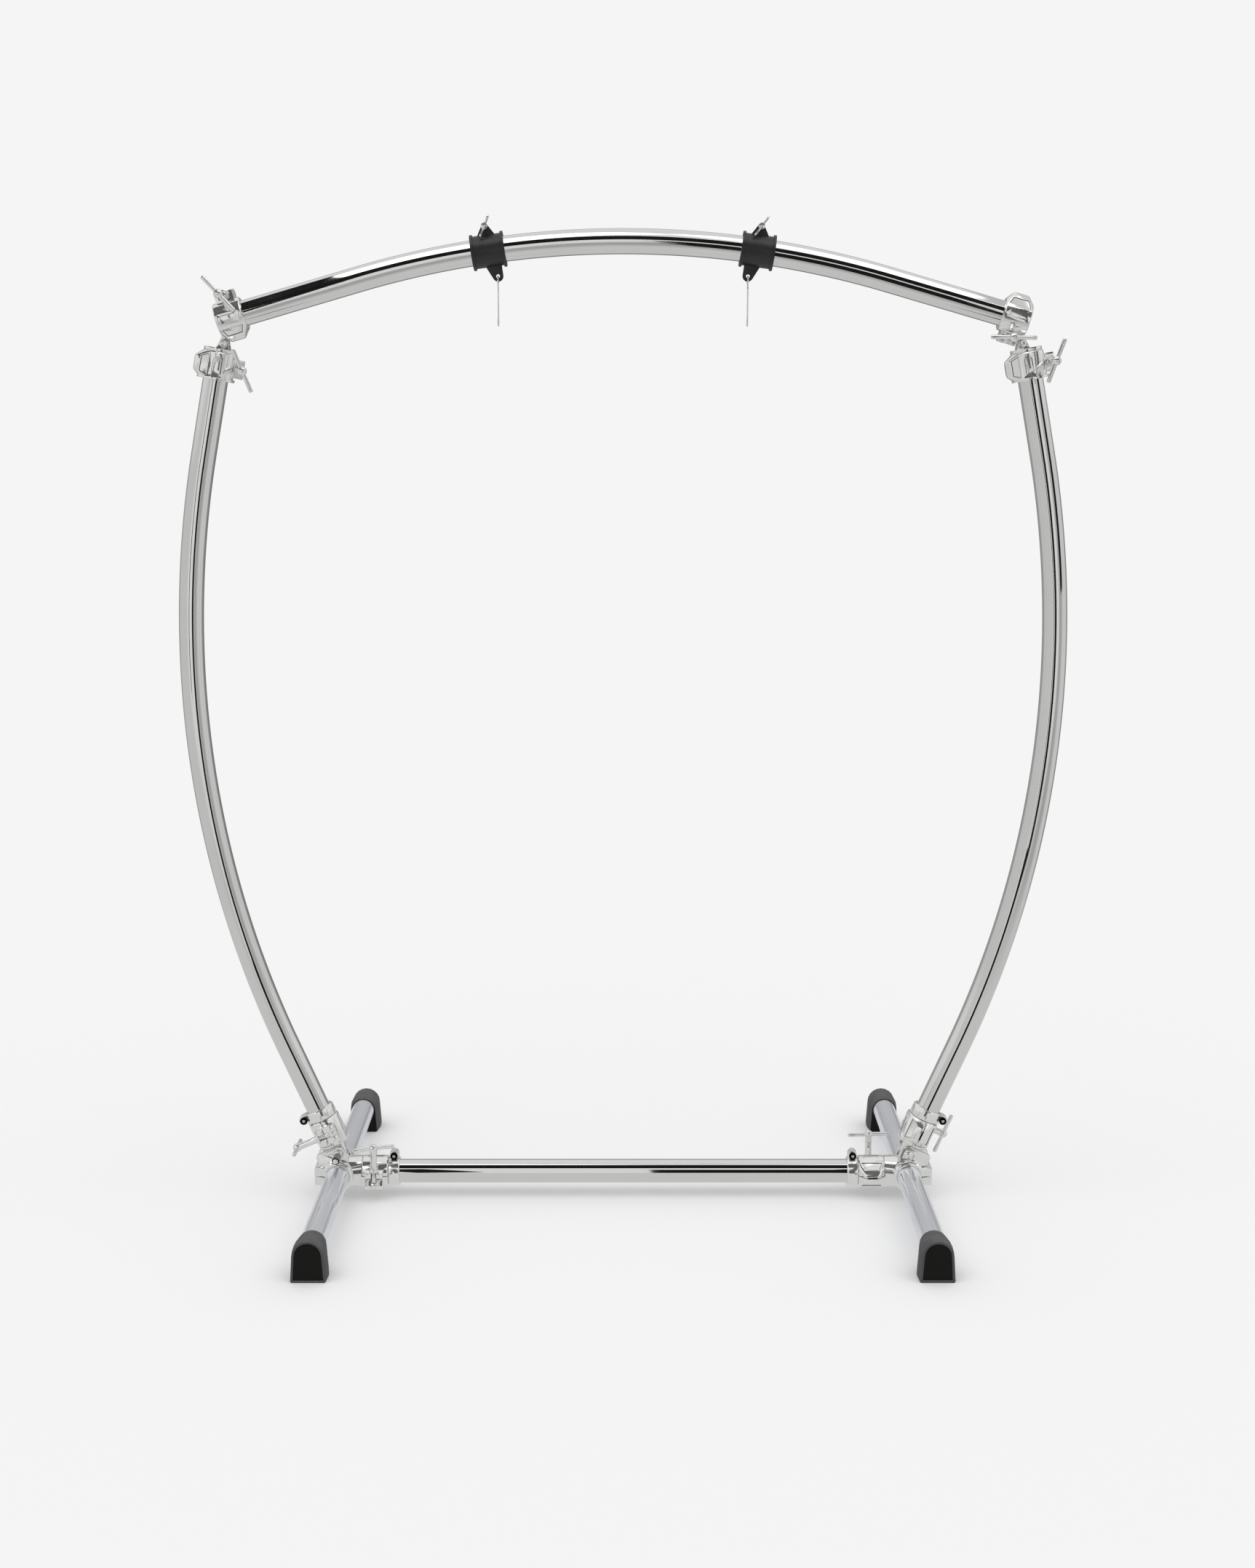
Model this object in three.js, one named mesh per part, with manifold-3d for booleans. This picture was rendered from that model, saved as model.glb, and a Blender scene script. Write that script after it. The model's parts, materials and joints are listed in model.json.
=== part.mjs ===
// Gong stand: two T feet, a base bar, two bowed uprights and a bowed top bar,
// all 1.5 inch tube, held together by hinged tube clamps with swing bolts and
// T-handle nuts. Two collars on the top bar carry the gong hooks.
// Millimetres, +Z up, +X to the right seen from the front, +Y to the back.
import * as THREE from 'three';
import { mergeVertices } from 'three/addons/utils/BufferGeometryUtils.js';
import Module from 'manifold-3d';

const wasm = await Module();
wasm.setup();

// Counts of facets
const TUBE_FACETS = 20;
const TUBE_BORE_FACETS = 10;
const BODY_FACETS = 20;
const PIN_FACETS = 10;
const BALL_FACETS = 8;
const EDGE_FACETS = 12; // a multiple of four, so that the sole is flat at its lowest
const HEX = 6;
const WIRE_FACETS = 6;
const WIRE_STEPS = 40;
const ARC_STEPS = 20;
const END_STEPS = 1;

// Clearances
const SLIP = 0.35; // a tube or pin in its hole, a face beside a face
const SLIDE = 0.8; // a straight collar that slides along a bent bar
const SEAT = 0.3; // two pieces that are clamped face to face
const JAW_GAP = 1.2; // the slit between the two jaws of a clamp
const NUT_GAP = 0.6; // lets a swing bolt swing out under its nut
const OVERRUN = 1; // cuts run past what they cut by this much
const WELD = 0.001; // vertices closer than this are one vertex

// Tube stock
const TUBE_R = 19.05;
const TUBE_WALL = 2;

// Overall layout
const LEG_SPACING = 921; // between the two leg axes
const LEG_LENGTH = 692; // over the outer faces of the feet
const LEG_HEIGHT = 40.8; // leg and base bar axis above the floor
const TILT_RISE = 33; // tilt pivot above the leg axis
const UPRIGHT_LEAN_LOW = THREE.MathUtils.degToRad(23.5); // outward at the bottom
const UPRIGHT_LEAN_HIGH = THREE.MathUtils.degToRad(11); // inward at the top
const UPRIGHT_BEND_R = 1600;
const UPRIGHT_LOW_STRAIGHT = 190; // tilt pivot to the start of the bend
const UPRIGHT_HIGH_STRAIGHT = 134.5; // end of the bend to the corner clamp's middle
const TOP_BEND_R = 1450;
const TOP_END_SLOPE = THREE.MathUtils.degToRad(16);

// Hinged tube clamp
const CLAMP_LENGTH = 42;
const CLAMP_R = 25.5;
const CLAMP_EDGE = 1.6; // rounding of the cast edges
const EAR_OFFSET = 33; // swing bolt axis from the tube axis
const EAR_REACH = 4.8; // ear past the swing bolt axis
const EAR_WIDTH = 28;
const EAR_ROOT_DROP = 6; // root block of the fixed ear below its eye
const EAR_TOP = 10; // gate ear's outer face above the slit's middle
const BOLT_R = 4;
const BOLT_EYE_R = 7;
const BOLT_EYE_WIDTH = 8;
const BOLT_EYE_DROP = 12; // eye centre below the slit's middle
const BOLT_EYE_PIN_R = 3;
const CHEEK_R = 7.5;
const HINGE_OFFSET = 29;
const HINGE_R = 5;
const HINGE_PIN_R = 2.2;
const HINGE_KNUCKLE = 14; // length of the gate's middle knuckle
const LOBE_OFFSET = 24; // the lobe round the hinge narrows to this
const LOBE_R = 12;
const LOBE_HALF = 11;
const LOBE_SLOT = 2.6; // open slot over the knuckle

// T-handle nut
const NUT_R = 5.6;
const NUT_COLLAR_R = 7.6;
const NUT_COLLAR_HEIGHT = 3;
const HUB_HEIGHT = 50; // cross bar above the slit's middle
const HUB_R = 7;
const CROSS_HALF = 34;
const CROSS_R = 2.9;
const CROSS_TIP_R = 2.4;
const BOLT_TOP = 38; // end of the swing bolt's thread inside the nut

// Leg sleeve of the T casting
const SLEEVE_LENGTH = 58;
const SLEEVE_EAR_REACH = 37;
const SLEEVE_EAR_HALF_HEIGHT = 14;
const SLEEVE_SLIT = 1.6;
const SLEEVE_SCREW_R = 4;
const SLEEVE_SCREW_DEPTH = 5;
const SLEEVE_SCREW_SPACING = 42;
const BASE_CLAMP_OFFSET = 59; // leg axis to the base clamp's middle
const BASE_PLUG = 4; // solid metal behind the base bar's end

// Tilt joint between T casting and upright clamp
const TILT_CLAMP_OFFSET = 42; // pivot to the upright clamp's middle
const TONGUE_R = 11;
const TONGUE_HALF = 8;
const TILT_CHEEK_R = 12;
const TILT_CHEEK_THICK = 7;
const TILT_BOLT_R = 4;
const TILT_HEAD_R = 8;
const TILT_HEAD_HEIGHT = 6;
const TILT_NUT_R = 7.5;
const TILT_NUT_HEIGHT = 6.5;
const TILT_THREAD = 26;
const TILT_WEB_OUT = 30; // cheeks reach out over the sleeve's ears
const TILT_WEB_UP = 27;
const TILT_WEB_R = 5.5;

// Corner swivel between lower and upper corner clamps
const SWIVEL_ABOVE = 34.4; // swivel axis above the lower corner clamp's middle
const SWIVEL_IN = 3.8; // and in from the upright's axis
const SWIVEL_DROP = 34; // swivel axis below the top bar axis
const SWIVEL_OUT = 23; // and out from the upper corner clamp's middle
const SWIVEL_R = 6.6; // discs round the swivel bolt
const SWIVEL_LUG_NEAR = 3; // upper clamp's lug behind the bar's middle plane
const SWIVEL_LUG_THICK = 9;
const SWIVEL_PLATE_THICK = 6;
const SWIVEL_PLAY = 1.4; // clearance round the bolt in the open corner
const SWIVEL_BOLT_R = 3;
const SWIVEL_HEAD_R = 6;
const SWIVEL_HEAD_HEIGHT = 4;
const CAP_THICK = 5;
const CAP_R = 24;
const RIM_THICK = 4;
const RIM_OUT = 3;
const LOWER_TURNS = { left: THREE.MathUtils.degToRad(15), right: 0 }; // clamps turned on the uprights

// Memory lock: split collar beside a clamp
const LOCK_WIDTH = 18;
const LOCK_R = 24;
const LOCK_EAR_TOP = 37;
const LOCK_EAR_HALF = 8;
const LOCK_SLIT = 2.4;
const LOCK_SCREW_OFFSET = 28.5;
const LOCK_SCREW_R = 2.4;
const LOCK_HEAD_R = 5;
const LOCK_HEAD_HEIGHT = 4;
const LOCK_SOCKET_R = 2.6;
const LOCK_SOCKET_DEPTH = 2.5;

// Rubber foot
const FOOT_WIDTH = 52;
const FOOT_TOP = 64;
const FOOT_DEPTH = 50;
const FOOT_WALL = 8;
const FOOT_EDGE = 3; // rounding along the sole
const FOOT_TAPER = 2.5; // the arch is this much narrower than the sole
const FOOT_BULGE = 1.5; // sides swell at half depth
const FOOT_SLICE = 2;

// Gong hanger
const HANGER_X = 202;
const COLLAR_LENGTH = 50;
const COLLAR_R = 24;
const RIM_R = 26.5;
const RIM_WIDTH = 4;
const EAR_SLIT = 3;
const EAR_HALF_BASE = 13;
const EAR_TIP_R = 5;
const EAR_HEIGHT = 40;
const EAR_THICK = 6;
const WING_SCREW_HEIGHT = 35;
const WING_SCREW_R = 2.5;
const WING_HUB_R = 5;
const WING_HUB_HEIGHT = 11;
const WING_REACH = 14;
const WING_THICK = 3;
const WING_LOBE_R = 3.5;
const WING_TIP = 2; // thread past the rear ear and the hub
const WING_TURN = THREE.MathUtils.degToRad(60);
const LUG_HALF_THICK = 3;
const LUG_HOLE_X = 9;
const LUG_HOLE_DROP = 38.5;
const LUG_HOLE_R = 3;
const LUG_TIP_R = 8;
const LUG_ROOT_NEAR = 17;
const LUG_ROOT_FAR = -7;
const WIRE_R = 1.1;
const HOOK_SPREAD = 6; // wire beside the lug
const HOOK_CREST = 0.4; // wire's middle under the hole's middle
const HOOK_NECK = 15; // where both sides meet below the hole
const HOOK_DROP = 66;
const HOOK_MOUTH = 9.5;
const HOOK_BOWL = 7;

// Finishes
const FINISHES = {
  chrome: { color: 0xd8d8d6, roughness: 0.08, metalness: 1 },
  casting: { color: 0xdcdcd8, roughness: 0.16, metalness: 1 },
  rubber: { color: 0x2a2827, roughness: 0.75, metalness: 0 },
  nylon: { color: 0x232226, roughness: 0.45, metalness: 0 },
  screw: { color: 0x9a9a98, roughness: 0.3, metalness: 1 },
};
const MATERIALS = Object.fromEntries(Object.entries(FINISHES).map(([name, values]) => (
  [name, new THREE.MeshStandardMaterial({ name, ...values })]
)));

// How far each T-handle was left turned
const NUT_TURNS = {
  base_clamp_left: THREE.MathUtils.degToRad(20),
  base_clamp_right: THREE.MathUtils.degToRad(5),
  tilt_clamp_left: THREE.MathUtils.degToRad(90),
  tilt_clamp_right: THREE.MathUtils.degToRad(0),
  corner_lower_left: THREE.MathUtils.degToRad(33),
  corner_lower_right: THREE.MathUtils.degToRad(-31),
  corner_upper_left: THREE.MathUtils.degToRad(-63),
  corner_upper_right: THREE.MathUtils.degToRad(15),
};

// Worked-out sizes
const BORE_R = TUBE_R + SLIP;
const LEG_X = LEG_SPACING / 2;
const CLAMP_HALF = CLAMP_LENGTH / 2;
const LOCK_HALF = LOCK_WIDTH / 2;
const NUT_FOOT = EAR_TOP + NUT_GAP;
const SLOT_HALF = BOLT_EYE_WIDTH / 2 + SLIP;
const SWIVEL_LUG_FAR = SWIVEL_LUG_NEAR + SWIVEL_LUG_THICK;
const SWIVEL_FORK = [
  [-SWIVEL_LUG_FAR - SEAT - SWIVEL_PLATE_THICK, -SWIVEL_LUG_FAR - SEAT],
  [SEAT - SWIVEL_LUG_NEAR, SEAT - SWIVEL_LUG_NEAR + SWIVEL_PLATE_THICK],
];

// Geometry to closed solid, and back to geometry.
function solid(geometry) {
  const bare = new THREE.BufferGeometry();
  bare.setAttribute('position', geometry.getAttribute('position'));
  if (geometry.index) {
    bare.setIndex(geometry.index);
  }
  const merged = mergeVertices(bare, WELD);
  return new wasm.Manifold(new wasm.Mesh({
    numProp: 3,
    vertProperties: Float32Array.from(merged.attributes.position.array),
    triVerts: Uint32Array.from(merged.index.array),
  }));
}

function toGeometry(body) {
  const mesh = body.getMesh();
  const geometry = new THREE.BufferGeometry();
  geometry.setAttribute('position', new THREE.BufferAttribute(Float32Array.from(mesh.vertProperties), 3));
  geometry.setIndex(new THREE.BufferAttribute(Uint32Array.from(mesh.triVerts), 1));
  const flat = geometry.toNonIndexed();
  flat.computeVertexNormals();
  return flat;
}

function joined(...bodies) {
  return bodies.reduce((sum, body) => sum.add(body));
}

// Turns a solid made along +Z so that it lies along another axis.
const ALONG = {
  x: new THREE.Matrix4().makeBasis(
    new THREE.Vector3(0, 1, 0), new THREE.Vector3(0, 0, 1), new THREE.Vector3(1, 0, 0),
  ),
  y: new THREE.Matrix4().makeBasis(
    new THREE.Vector3(0, 0, 1), new THREE.Vector3(1, 0, 0), new THREE.Vector3(0, 1, 0),
  ),
  z: new THREE.Matrix4(),
};

// Round bar along an axis from start to end; the radius may change on the way.
function bar(axis, radius, start, end, { at = [0, 0, 0], endRadius = radius, facets = PIN_FACETS } = {}) {
  const shape = new THREE.CylinderGeometry(endRadius, radius, end - start, facets);
  shape.rotateX(Math.PI / 2);
  shape.translate(0, 0, (start + end) / 2);
  shape.applyMatrix4(ALONG[axis]);
  shape.translate(...at);
  return solid(shape);
}

function block([x0, x1], [y0, y1], [z0, z1]) {
  const shape = new THREE.BoxGeometry(x1 - x0, y1 - y0, z1 - z0);
  shape.translate((x0 + x1) / 2, (y0 + y1) / 2, (z0 + z1) / 2);
  return solid(shape);
}

function ball(radius, at, facets = BALL_FACETS) {
  const shape = new THREE.SphereGeometry(radius, facets, facets / 2);
  shape.translate(...at);
  return solid(shape);
}

// Convex skin round several solids, used for lugs, ears and feet.
function skin(...bodies) {
  return wasm.Manifold.hull(bodies);
}

// Cylinder along X with chamfered rims, the body of every cast clamp.
function roundedDrum(radius, start, end) {
  const profile = [
    [0, start],
    [radius - CLAMP_EDGE, start],
    [radius, start + CLAMP_EDGE],
    [radius, end - CLAMP_EDGE],
    [radius - CLAMP_EDGE, end],
    [0, end],
  ];
  const shape = new THREE.LatheGeometry(profile.map(([r, h]) => new THREE.Vector2(r, h)), BODY_FACETS);
  shape.rotateX(Math.PI / 2);
  shape.applyMatrix4(ALONG.x);
  return solid(shape);
}

// Clamp: the tube lies along X, the slit in the plane z = 0, the swing bolt in
// front at y = -EAR_OFFSET pointing along +Z, the hinge behind.
function clampBlank() {
  const ring = roundedDrum(CLAMP_R, -CLAMP_HALF, CLAMP_HALF);
  const outer = CLAMP_HALF - CLAMP_EDGE;
  const lobe = skin(
    bar('x', CLAMP_R, -outer, outer, { facets: BODY_FACETS }),
    bar('x', LOBE_R, -LOBE_HALF, LOBE_HALF, { at: [0, LOBE_OFFSET, 0] }),
  );
  const lobeSlot = block(
    [-HINGE_KNUCKLE / 2, HINGE_KNUCKLE / 2],
    [HINGE_OFFSET + HINGE_R, HINGE_OFFSET * 2],
    [-LOBE_SLOT / 2, LOBE_SLOT / 2],
  );
  const earHalf = EAR_WIDTH / 2;
  const ear = block([-earHalf, earHalf], [-EAR_OFFSET - EAR_REACH, 0], [-BOLT_EYE_DROP, EAR_TOP]);
  const cheek = bar('x', CHEEK_R, -earHalf, earHalf, { at: [0, -EAR_OFFSET, -BOLT_EYE_DROP] });
  const root = block([-earHalf, earHalf], [-EAR_OFFSET, 0], [-BOLT_EYE_DROP - EAR_ROOT_DROP, 0]);
  return joined(ring, lobe, ear, cheek, root).subtract(lobeSlot);
}

function clampBore() {
  return bar('x', BORE_R, -CLAMP_LENGTH, CLAMP_LENGTH, { facets: BODY_FACETS });
}

function hingeBarrel(start, end, bridgeSide) {
  const barrel = bar('x', HINGE_R, start, end, { at: [0, HINGE_OFFSET, 0] });
  const low = bridgeSide < 0 ? -HINGE_R : 0;
  const bridge = block([start, end], [0, HINGE_OFFSET], [low, low + HINGE_R]);
  return barrel.add(bridge);
}

function hingeRoom(start, end) {
  return bar('x', HINGE_R + SLIP, start, end, { at: [0, HINGE_OFFSET, 0], facets: PIN_FACETS });
}

// Fixed jaw, with the hinge pin and the swing bolt's pin cast in.
function fixedJaw(extras = []) {
  const below = block(
    [-CLAMP_LENGTH, CLAMP_LENGTH],
    [-CLAMP_LENGTH * 2, CLAMP_LENGTH * 2],
    [-CLAMP_LENGTH * 2, -JAW_GAP / 2],
  );
  const knuckle = HINGE_KNUCKLE / 2;
  const jaw = joined(
    clampBlank().intersect(below),
    hingeBarrel(-LOBE_HALF, -knuckle - SLIP, -1),
    hingeBarrel(knuckle + SLIP, LOBE_HALF, -1),
    ...extras,
  );
  const slot = block(
    [-SLOT_HALF, SLOT_HALF],
    [-CLAMP_LENGTH * 2, -EAR_OFFSET + BOLT_EYE_R + SLIP * 2],
    [-CLAMP_LENGTH, OVERRUN],
  );
  const hingePin = bar('x', HINGE_PIN_R, -LOBE_HALF, LOBE_HALF, { at: [0, HINGE_OFFSET, 0] });
  const eyePin = bar('x', BOLT_EYE_PIN_R, -SLOT_HALF - OVERRUN, SLOT_HALF + OVERRUN, {
    at: [0, -EAR_OFFSET, -BOLT_EYE_DROP],
  });
  return jaw
    .subtract(clampBore())
    .subtract(hingeRoom(-knuckle - SLIP, knuckle + SLIP))
    .subtract(slot)
    .add(hingePin)
    .add(eyePin);
}

// Gate: the jaw that opens once its swing bolt is out of the slot.
function gate(extras = []) {
  const above = block(
    [-CLAMP_LENGTH, CLAMP_LENGTH],
    [-CLAMP_LENGTH * 2, CLAMP_LENGTH * 2],
    [JAW_GAP / 2, CLAMP_LENGTH * 2],
  );
  const knuckle = HINGE_KNUCKLE / 2;
  const slot = block(
    [-BOLT_R - SLIP, BOLT_R + SLIP],
    [-CLAMP_LENGTH * 2, -EAR_OFFSET + BOLT_R + SLIP * 2],
    [0, CLAMP_LENGTH],
  );
  return joined(clampBlank().intersect(above), hingeBarrel(-knuckle, knuckle, 1), ...extras)
    .subtract(clampBore())
    .subtract(hingeRoom(-LOBE_HALF - SLIP, -knuckle))
    .subtract(hingeRoom(knuckle, LOBE_HALF + SLIP))
    .subtract(bar('x', HINGE_PIN_R + SLIP, -CLAMP_LENGTH, CLAMP_LENGTH, { at: [0, HINGE_OFFSET, 0] }))
    .subtract(slot);
}

// Swing bolt, with its origin at the eye and its thread along +Z.
function swingBolt() {
  const eye = bar('x', BOLT_EYE_R, -BOLT_EYE_WIDTH / 2, BOLT_EYE_WIDTH / 2);
  const shank = bar('z', BOLT_R, 0, BOLT_EYE_DROP + BOLT_TOP);
  const hole = bar('x', BOLT_EYE_PIN_R + SLIP, -BOLT_EYE_WIDTH, BOLT_EYE_WIDTH);
  return eye.add(shank).subtract(hole);
}

// Cross bar with waisted ends, along X through the hub.
function crossBar(height) {
  const neck = CROSS_HALF - CROSS_TIP_R;
  const options = { at: [0, 0, height], facets: BALL_FACETS };
  const right = skin(
    bar('x', CROSS_R, 0, OVERRUN, options),
    bar('x', CROSS_TIP_R, neck - OVERRUN, neck, options),
    bar('x', CROSS_TIP_R / 2, neck, CROSS_HALF, options),
  );
  return joined(ball(HUB_R, [0, 0, height]), right, right.mirror([1, 0, 0]));
}

// T-handle nut, with its origin on the clamp's slit and its thread along +Z.
function handleNut() {
  const collar = bar('z', NUT_COLLAR_R, NUT_FOOT, NUT_FOOT + NUT_COLLAR_HEIGHT);
  const barrel = bar('z', NUT_R, NUT_FOOT, HUB_HEIGHT);
  const bore = bar('z', BOLT_R + SLIP, 0, BOLT_TOP + SLIP * 2);
  return joined(collar, barrel, crossBar(HUB_HEIGHT)).subtract(bore);
}

// T casting: leg sleeve along Y, base clamp's fixed jaw towards +X, tilt cheeks
// above. Its origin is on the leg axis.
function tCasting() {
  const half = SLEEVE_LENGTH / 2;
  const sleeve = roundedDrum(CLAMP_R, -half, half).rotate([0, 0, 90]);
  const ear = block(
    [-SLEEVE_EAR_REACH, 0],
    [-half + CLAMP_EDGE, half - CLAMP_EDGE],
    [-SLEEVE_EAR_HALF_HEIGHT, SLEEVE_EAR_HALF_HEIGHT],
  );
  const jawStart = BASE_CLAMP_OFFSET - CLAMP_HALF;
  const gateRoom = block([jawStart - SEAT, BASE_CLAMP_OFFSET], [-CLAMP_LENGTH, CLAMP_LENGTH],
    [-JAW_GAP / 2, CLAMP_LENGTH]);
  const web = bar('x', CLAMP_R, 0, jawStart + CLAMP_EDGE, { facets: BODY_FACETS })
    .subtract(gateRoom)
    .subtract(bar('x', BORE_R, jawStart - SEAT, BASE_CLAMP_OFFSET, { facets: BODY_FACETS }));
  const inner = TONGUE_HALF + SEAT;
  const outer = inner + TILT_CHEEK_THICK;
  const cheeks = [[inner, outer], [-outer, -inner]].map(([y0, y1]) => skin(
    bar('y', TILT_CHEEK_R, y0, y1, { at: [0, 0, TILT_RISE], facets: BODY_FACETS }),
    bar('y', CLAMP_R - CLAMP_EDGE, y0, y1, { facets: BODY_FACETS }),
    bar('y', TILT_WEB_R, y0, y1, { at: [-TILT_WEB_OUT, 0, TILT_WEB_UP] }),
  ));
  const jaw = fixedJaw().translate([BASE_CLAMP_OFFSET, 0, 0]);
  const tongueRoom = bar('y', TONGUE_R + SLIP * 2, -TONGUE_HALF - SEAT, TONGUE_HALF + SEAT, {
    at: [0, 0, TILT_RISE],
    facets: BODY_FACETS,
  });
  const neckRoom = block(
    [-TONGUE_R - SLIP * 2, TONGUE_R + SLIP * 2],
    [-TONGUE_HALF - SEAT, TONGUE_HALF + SEAT],
    [TILT_RISE, TILT_RISE * 2],
  );
  const legBore = bar('y', BORE_R, -SLEEVE_LENGTH, SLEEVE_LENGTH, { facets: BODY_FACETS });
  const slit = block(
    [-SLEEVE_EAR_REACH - OVERRUN, 0],
    [-SLEEVE_LENGTH, SLEEVE_LENGTH],
    [-SLEEVE_SLIT / 2, SLEEVE_SLIT / 2],
  );
  const boltHole = bar('y', TILT_BOLT_R + SLIP, -SLEEVE_LENGTH, SLEEVE_LENGTH, { at: [0, 0, TILT_RISE] });
  const screwX = -(SLEEVE_EAR_REACH + CLAMP_R) / 2;
  const screwHoles = [-1, 1].map((side) => bar(
    'z',
    SLEEVE_SCREW_R,
    SLEEVE_EAR_HALF_HEIGHT - SLEEVE_SCREW_DEPTH,
    SLEEVE_EAR_HALF_HEIGHT + OVERRUN,
    { at: [screwX, (side * SLEEVE_SCREW_SPACING) / 2, 0] },
  ));
  return joined(sleeve, ear, web, ...cheeks, jaw)
    .subtract(tongueRoom.add(neckRoom))
    .subtract(legBore)
    .subtract(slit)
    .subtract(boltHole)
    .subtract(joined(...screwHoles));
}

// Upright clamp's body: the clamp along +X, its tongue at the origin.
function tiltClamp() {
  const start = TILT_CLAMP_OFFSET - CLAMP_HALF;
  const tongue = bar('y', TONGUE_R, -TONGUE_HALF, TONGUE_HALF, { facets: BODY_FACETS });
  const neck = block([0, start + OVERRUN], [-TONGUE_HALF, TONGUE_HALF], [-TONGUE_R, TONGUE_R]);
  const plug = roundedDrum(CLAMP_R, start - BASE_PLUG, start + BASE_PLUG);
  const jaw = fixedJaw([]).translate([TILT_CLAMP_OFFSET, 0, 0]);
  const gateRoom = block(
    [start - SEAT, start + CLAMP_LENGTH],
    [-CLAMP_LENGTH, CLAMP_LENGTH],
    [-JAW_GAP / 2, CLAMP_LENGTH],
  );
  const bore = bar('x', BORE_R, start - SEAT, start + CLAMP_LENGTH, { facets: BODY_FACETS });
  const boltHole = bar('y', TILT_BOLT_R + SLIP, -CLAMP_LENGTH, CLAMP_LENGTH);
  return joined(tongue, neck, plug)
    .subtract(gateRoom)
    .subtract(bore)
    .subtract(boltHole)
    .add(jaw);
}

// Tilt bolt along Y: domed head at the back, nut and bare thread in front.
function tiltBolt() {
  const face = TONGUE_HALF + SEAT + TILT_CHEEK_THICK + SEAT;
  const shank = bar('y', TILT_BOLT_R, -face - TILT_NUT_HEIGHT - TILT_THREAD, face + OVERRUN);
  const head = ball(TILT_HEAD_R, [0, 0, 0], PIN_FACETS)
    .intersect(block([-TILT_HEAD_R, TILT_HEAD_R], [0, TILT_HEAD_R], [-TILT_HEAD_R, TILT_HEAD_R]))
    .scale([1, TILT_HEAD_HEIGHT / TILT_HEAD_R, 1])
    .translate([0, face, 0]);
  const nut = bar('y', TILT_NUT_R, -face - TILT_NUT_HEIGHT, -face, { facets: HEX });
  return joined(shank, head, nut);
}

// Cast lock ring along X with its ear towards +Z, split in the plane y = 0.
function memoryLock() {
  const ring = roundedDrum(LOCK_R, -LOCK_HALF, LOCK_HALF);
  const ear = block([-LOCK_HALF + CLAMP_EDGE, LOCK_HALF - CLAMP_EDGE], [-LOCK_EAR_HALF, LOCK_EAR_HALF],
    [0, LOCK_EAR_TOP - LOCK_EAR_HALF]);
  const crown = bar('y', LOCK_HALF - CLAMP_EDGE, -LOCK_EAR_HALF, LOCK_EAR_HALF, {
    at: [0, 0, LOCK_EAR_TOP - LOCK_EAR_HALF],
  });
  const slit = block([-LOCK_WIDTH, LOCK_WIDTH], [-LOCK_SLIT / 2, LOCK_SLIT / 2], [0, LOCK_EAR_TOP * 2]);
  const bore = bar('x', BORE_R, -LOCK_WIDTH, LOCK_WIDTH, { facets: BODY_FACETS });
  const hole = bar('y', LOCK_SCREW_R + SLIP, -LOCK_WIDTH, LOCK_WIDTH, { at: [0, 0, LOCK_SCREW_OFFSET] });
  return joined(ring, ear, crown).subtract(slit).subtract(bore).subtract(hole);
}

// Socket-head screw along Y with its head in front of the ear.
function lockScrew() {
  const face = -LOCK_EAR_HALF - SEAT;
  const shank = bar('y', LOCK_SCREW_R, face, LOCK_EAR_HALF + SLIP);
  const head = bar('y', LOCK_HEAD_R, face - LOCK_HEAD_HEIGHT, face);
  const socket = bar('y', LOCK_SOCKET_R, face - LOCK_HEAD_HEIGHT - OVERRUN,
    face - LOCK_HEAD_HEIGHT + LOCK_SOCKET_DEPTH, { facets: HEX });
  return shank.add(head).subtract(socket);
}

// Foot: arched rubber block round the tube's end. Its origin is on the leg
// axis at the inner mouth, with the closed end towards +Y.
function foot() {
  const slice = (y, halfWidth, top) => {
    const archR = halfWidth - FOOT_TAPER;
    const low = FOOT_EDGE - LEG_HEIGHT;
    const corner = halfWidth - FOOT_EDGE;
    const end = y + FOOT_SLICE;
    return [
      bar('y', archR, y, end, { at: [0, 0, top - LEG_HEIGHT - archR], facets: BODY_FACETS }),
      bar('y', FOOT_EDGE, y, end, { at: [corner, 0, low], facets: EDGE_FACETS }),
      bar('y', FOOT_EDGE, y, end, { at: [-corner, 0, low], facets: EDGE_FACETS }),
    ];
  };
  const inner = slice(0, FOOT_WIDTH / 2 - FOOT_TAPER, FOOT_TOP - FOOT_TAPER);
  const bulge = slice(FOOT_DEPTH / 2, FOOT_WIDTH / 2 + FOOT_BULGE, FOOT_TOP);
  const outer = slice(FOOT_DEPTH - FOOT_SLICE, FOOT_WIDTH / 2, FOOT_TOP);
  const bore = bar('y', BORE_R, -OVERRUN, FOOT_DEPTH - FOOT_WALL, { facets: BODY_FACETS });
  return skin(...inner, ...bulge, ...outer).subtract(bore);
}

function circlePoints(radius, count) {
  return Array.from({ length: count }, (_, index) => {
    const angle = (index / count) * 2 * Math.PI;
    return new THREE.Vector2(radius * Math.cos(angle), radius * Math.sin(angle));
  });
}

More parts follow.
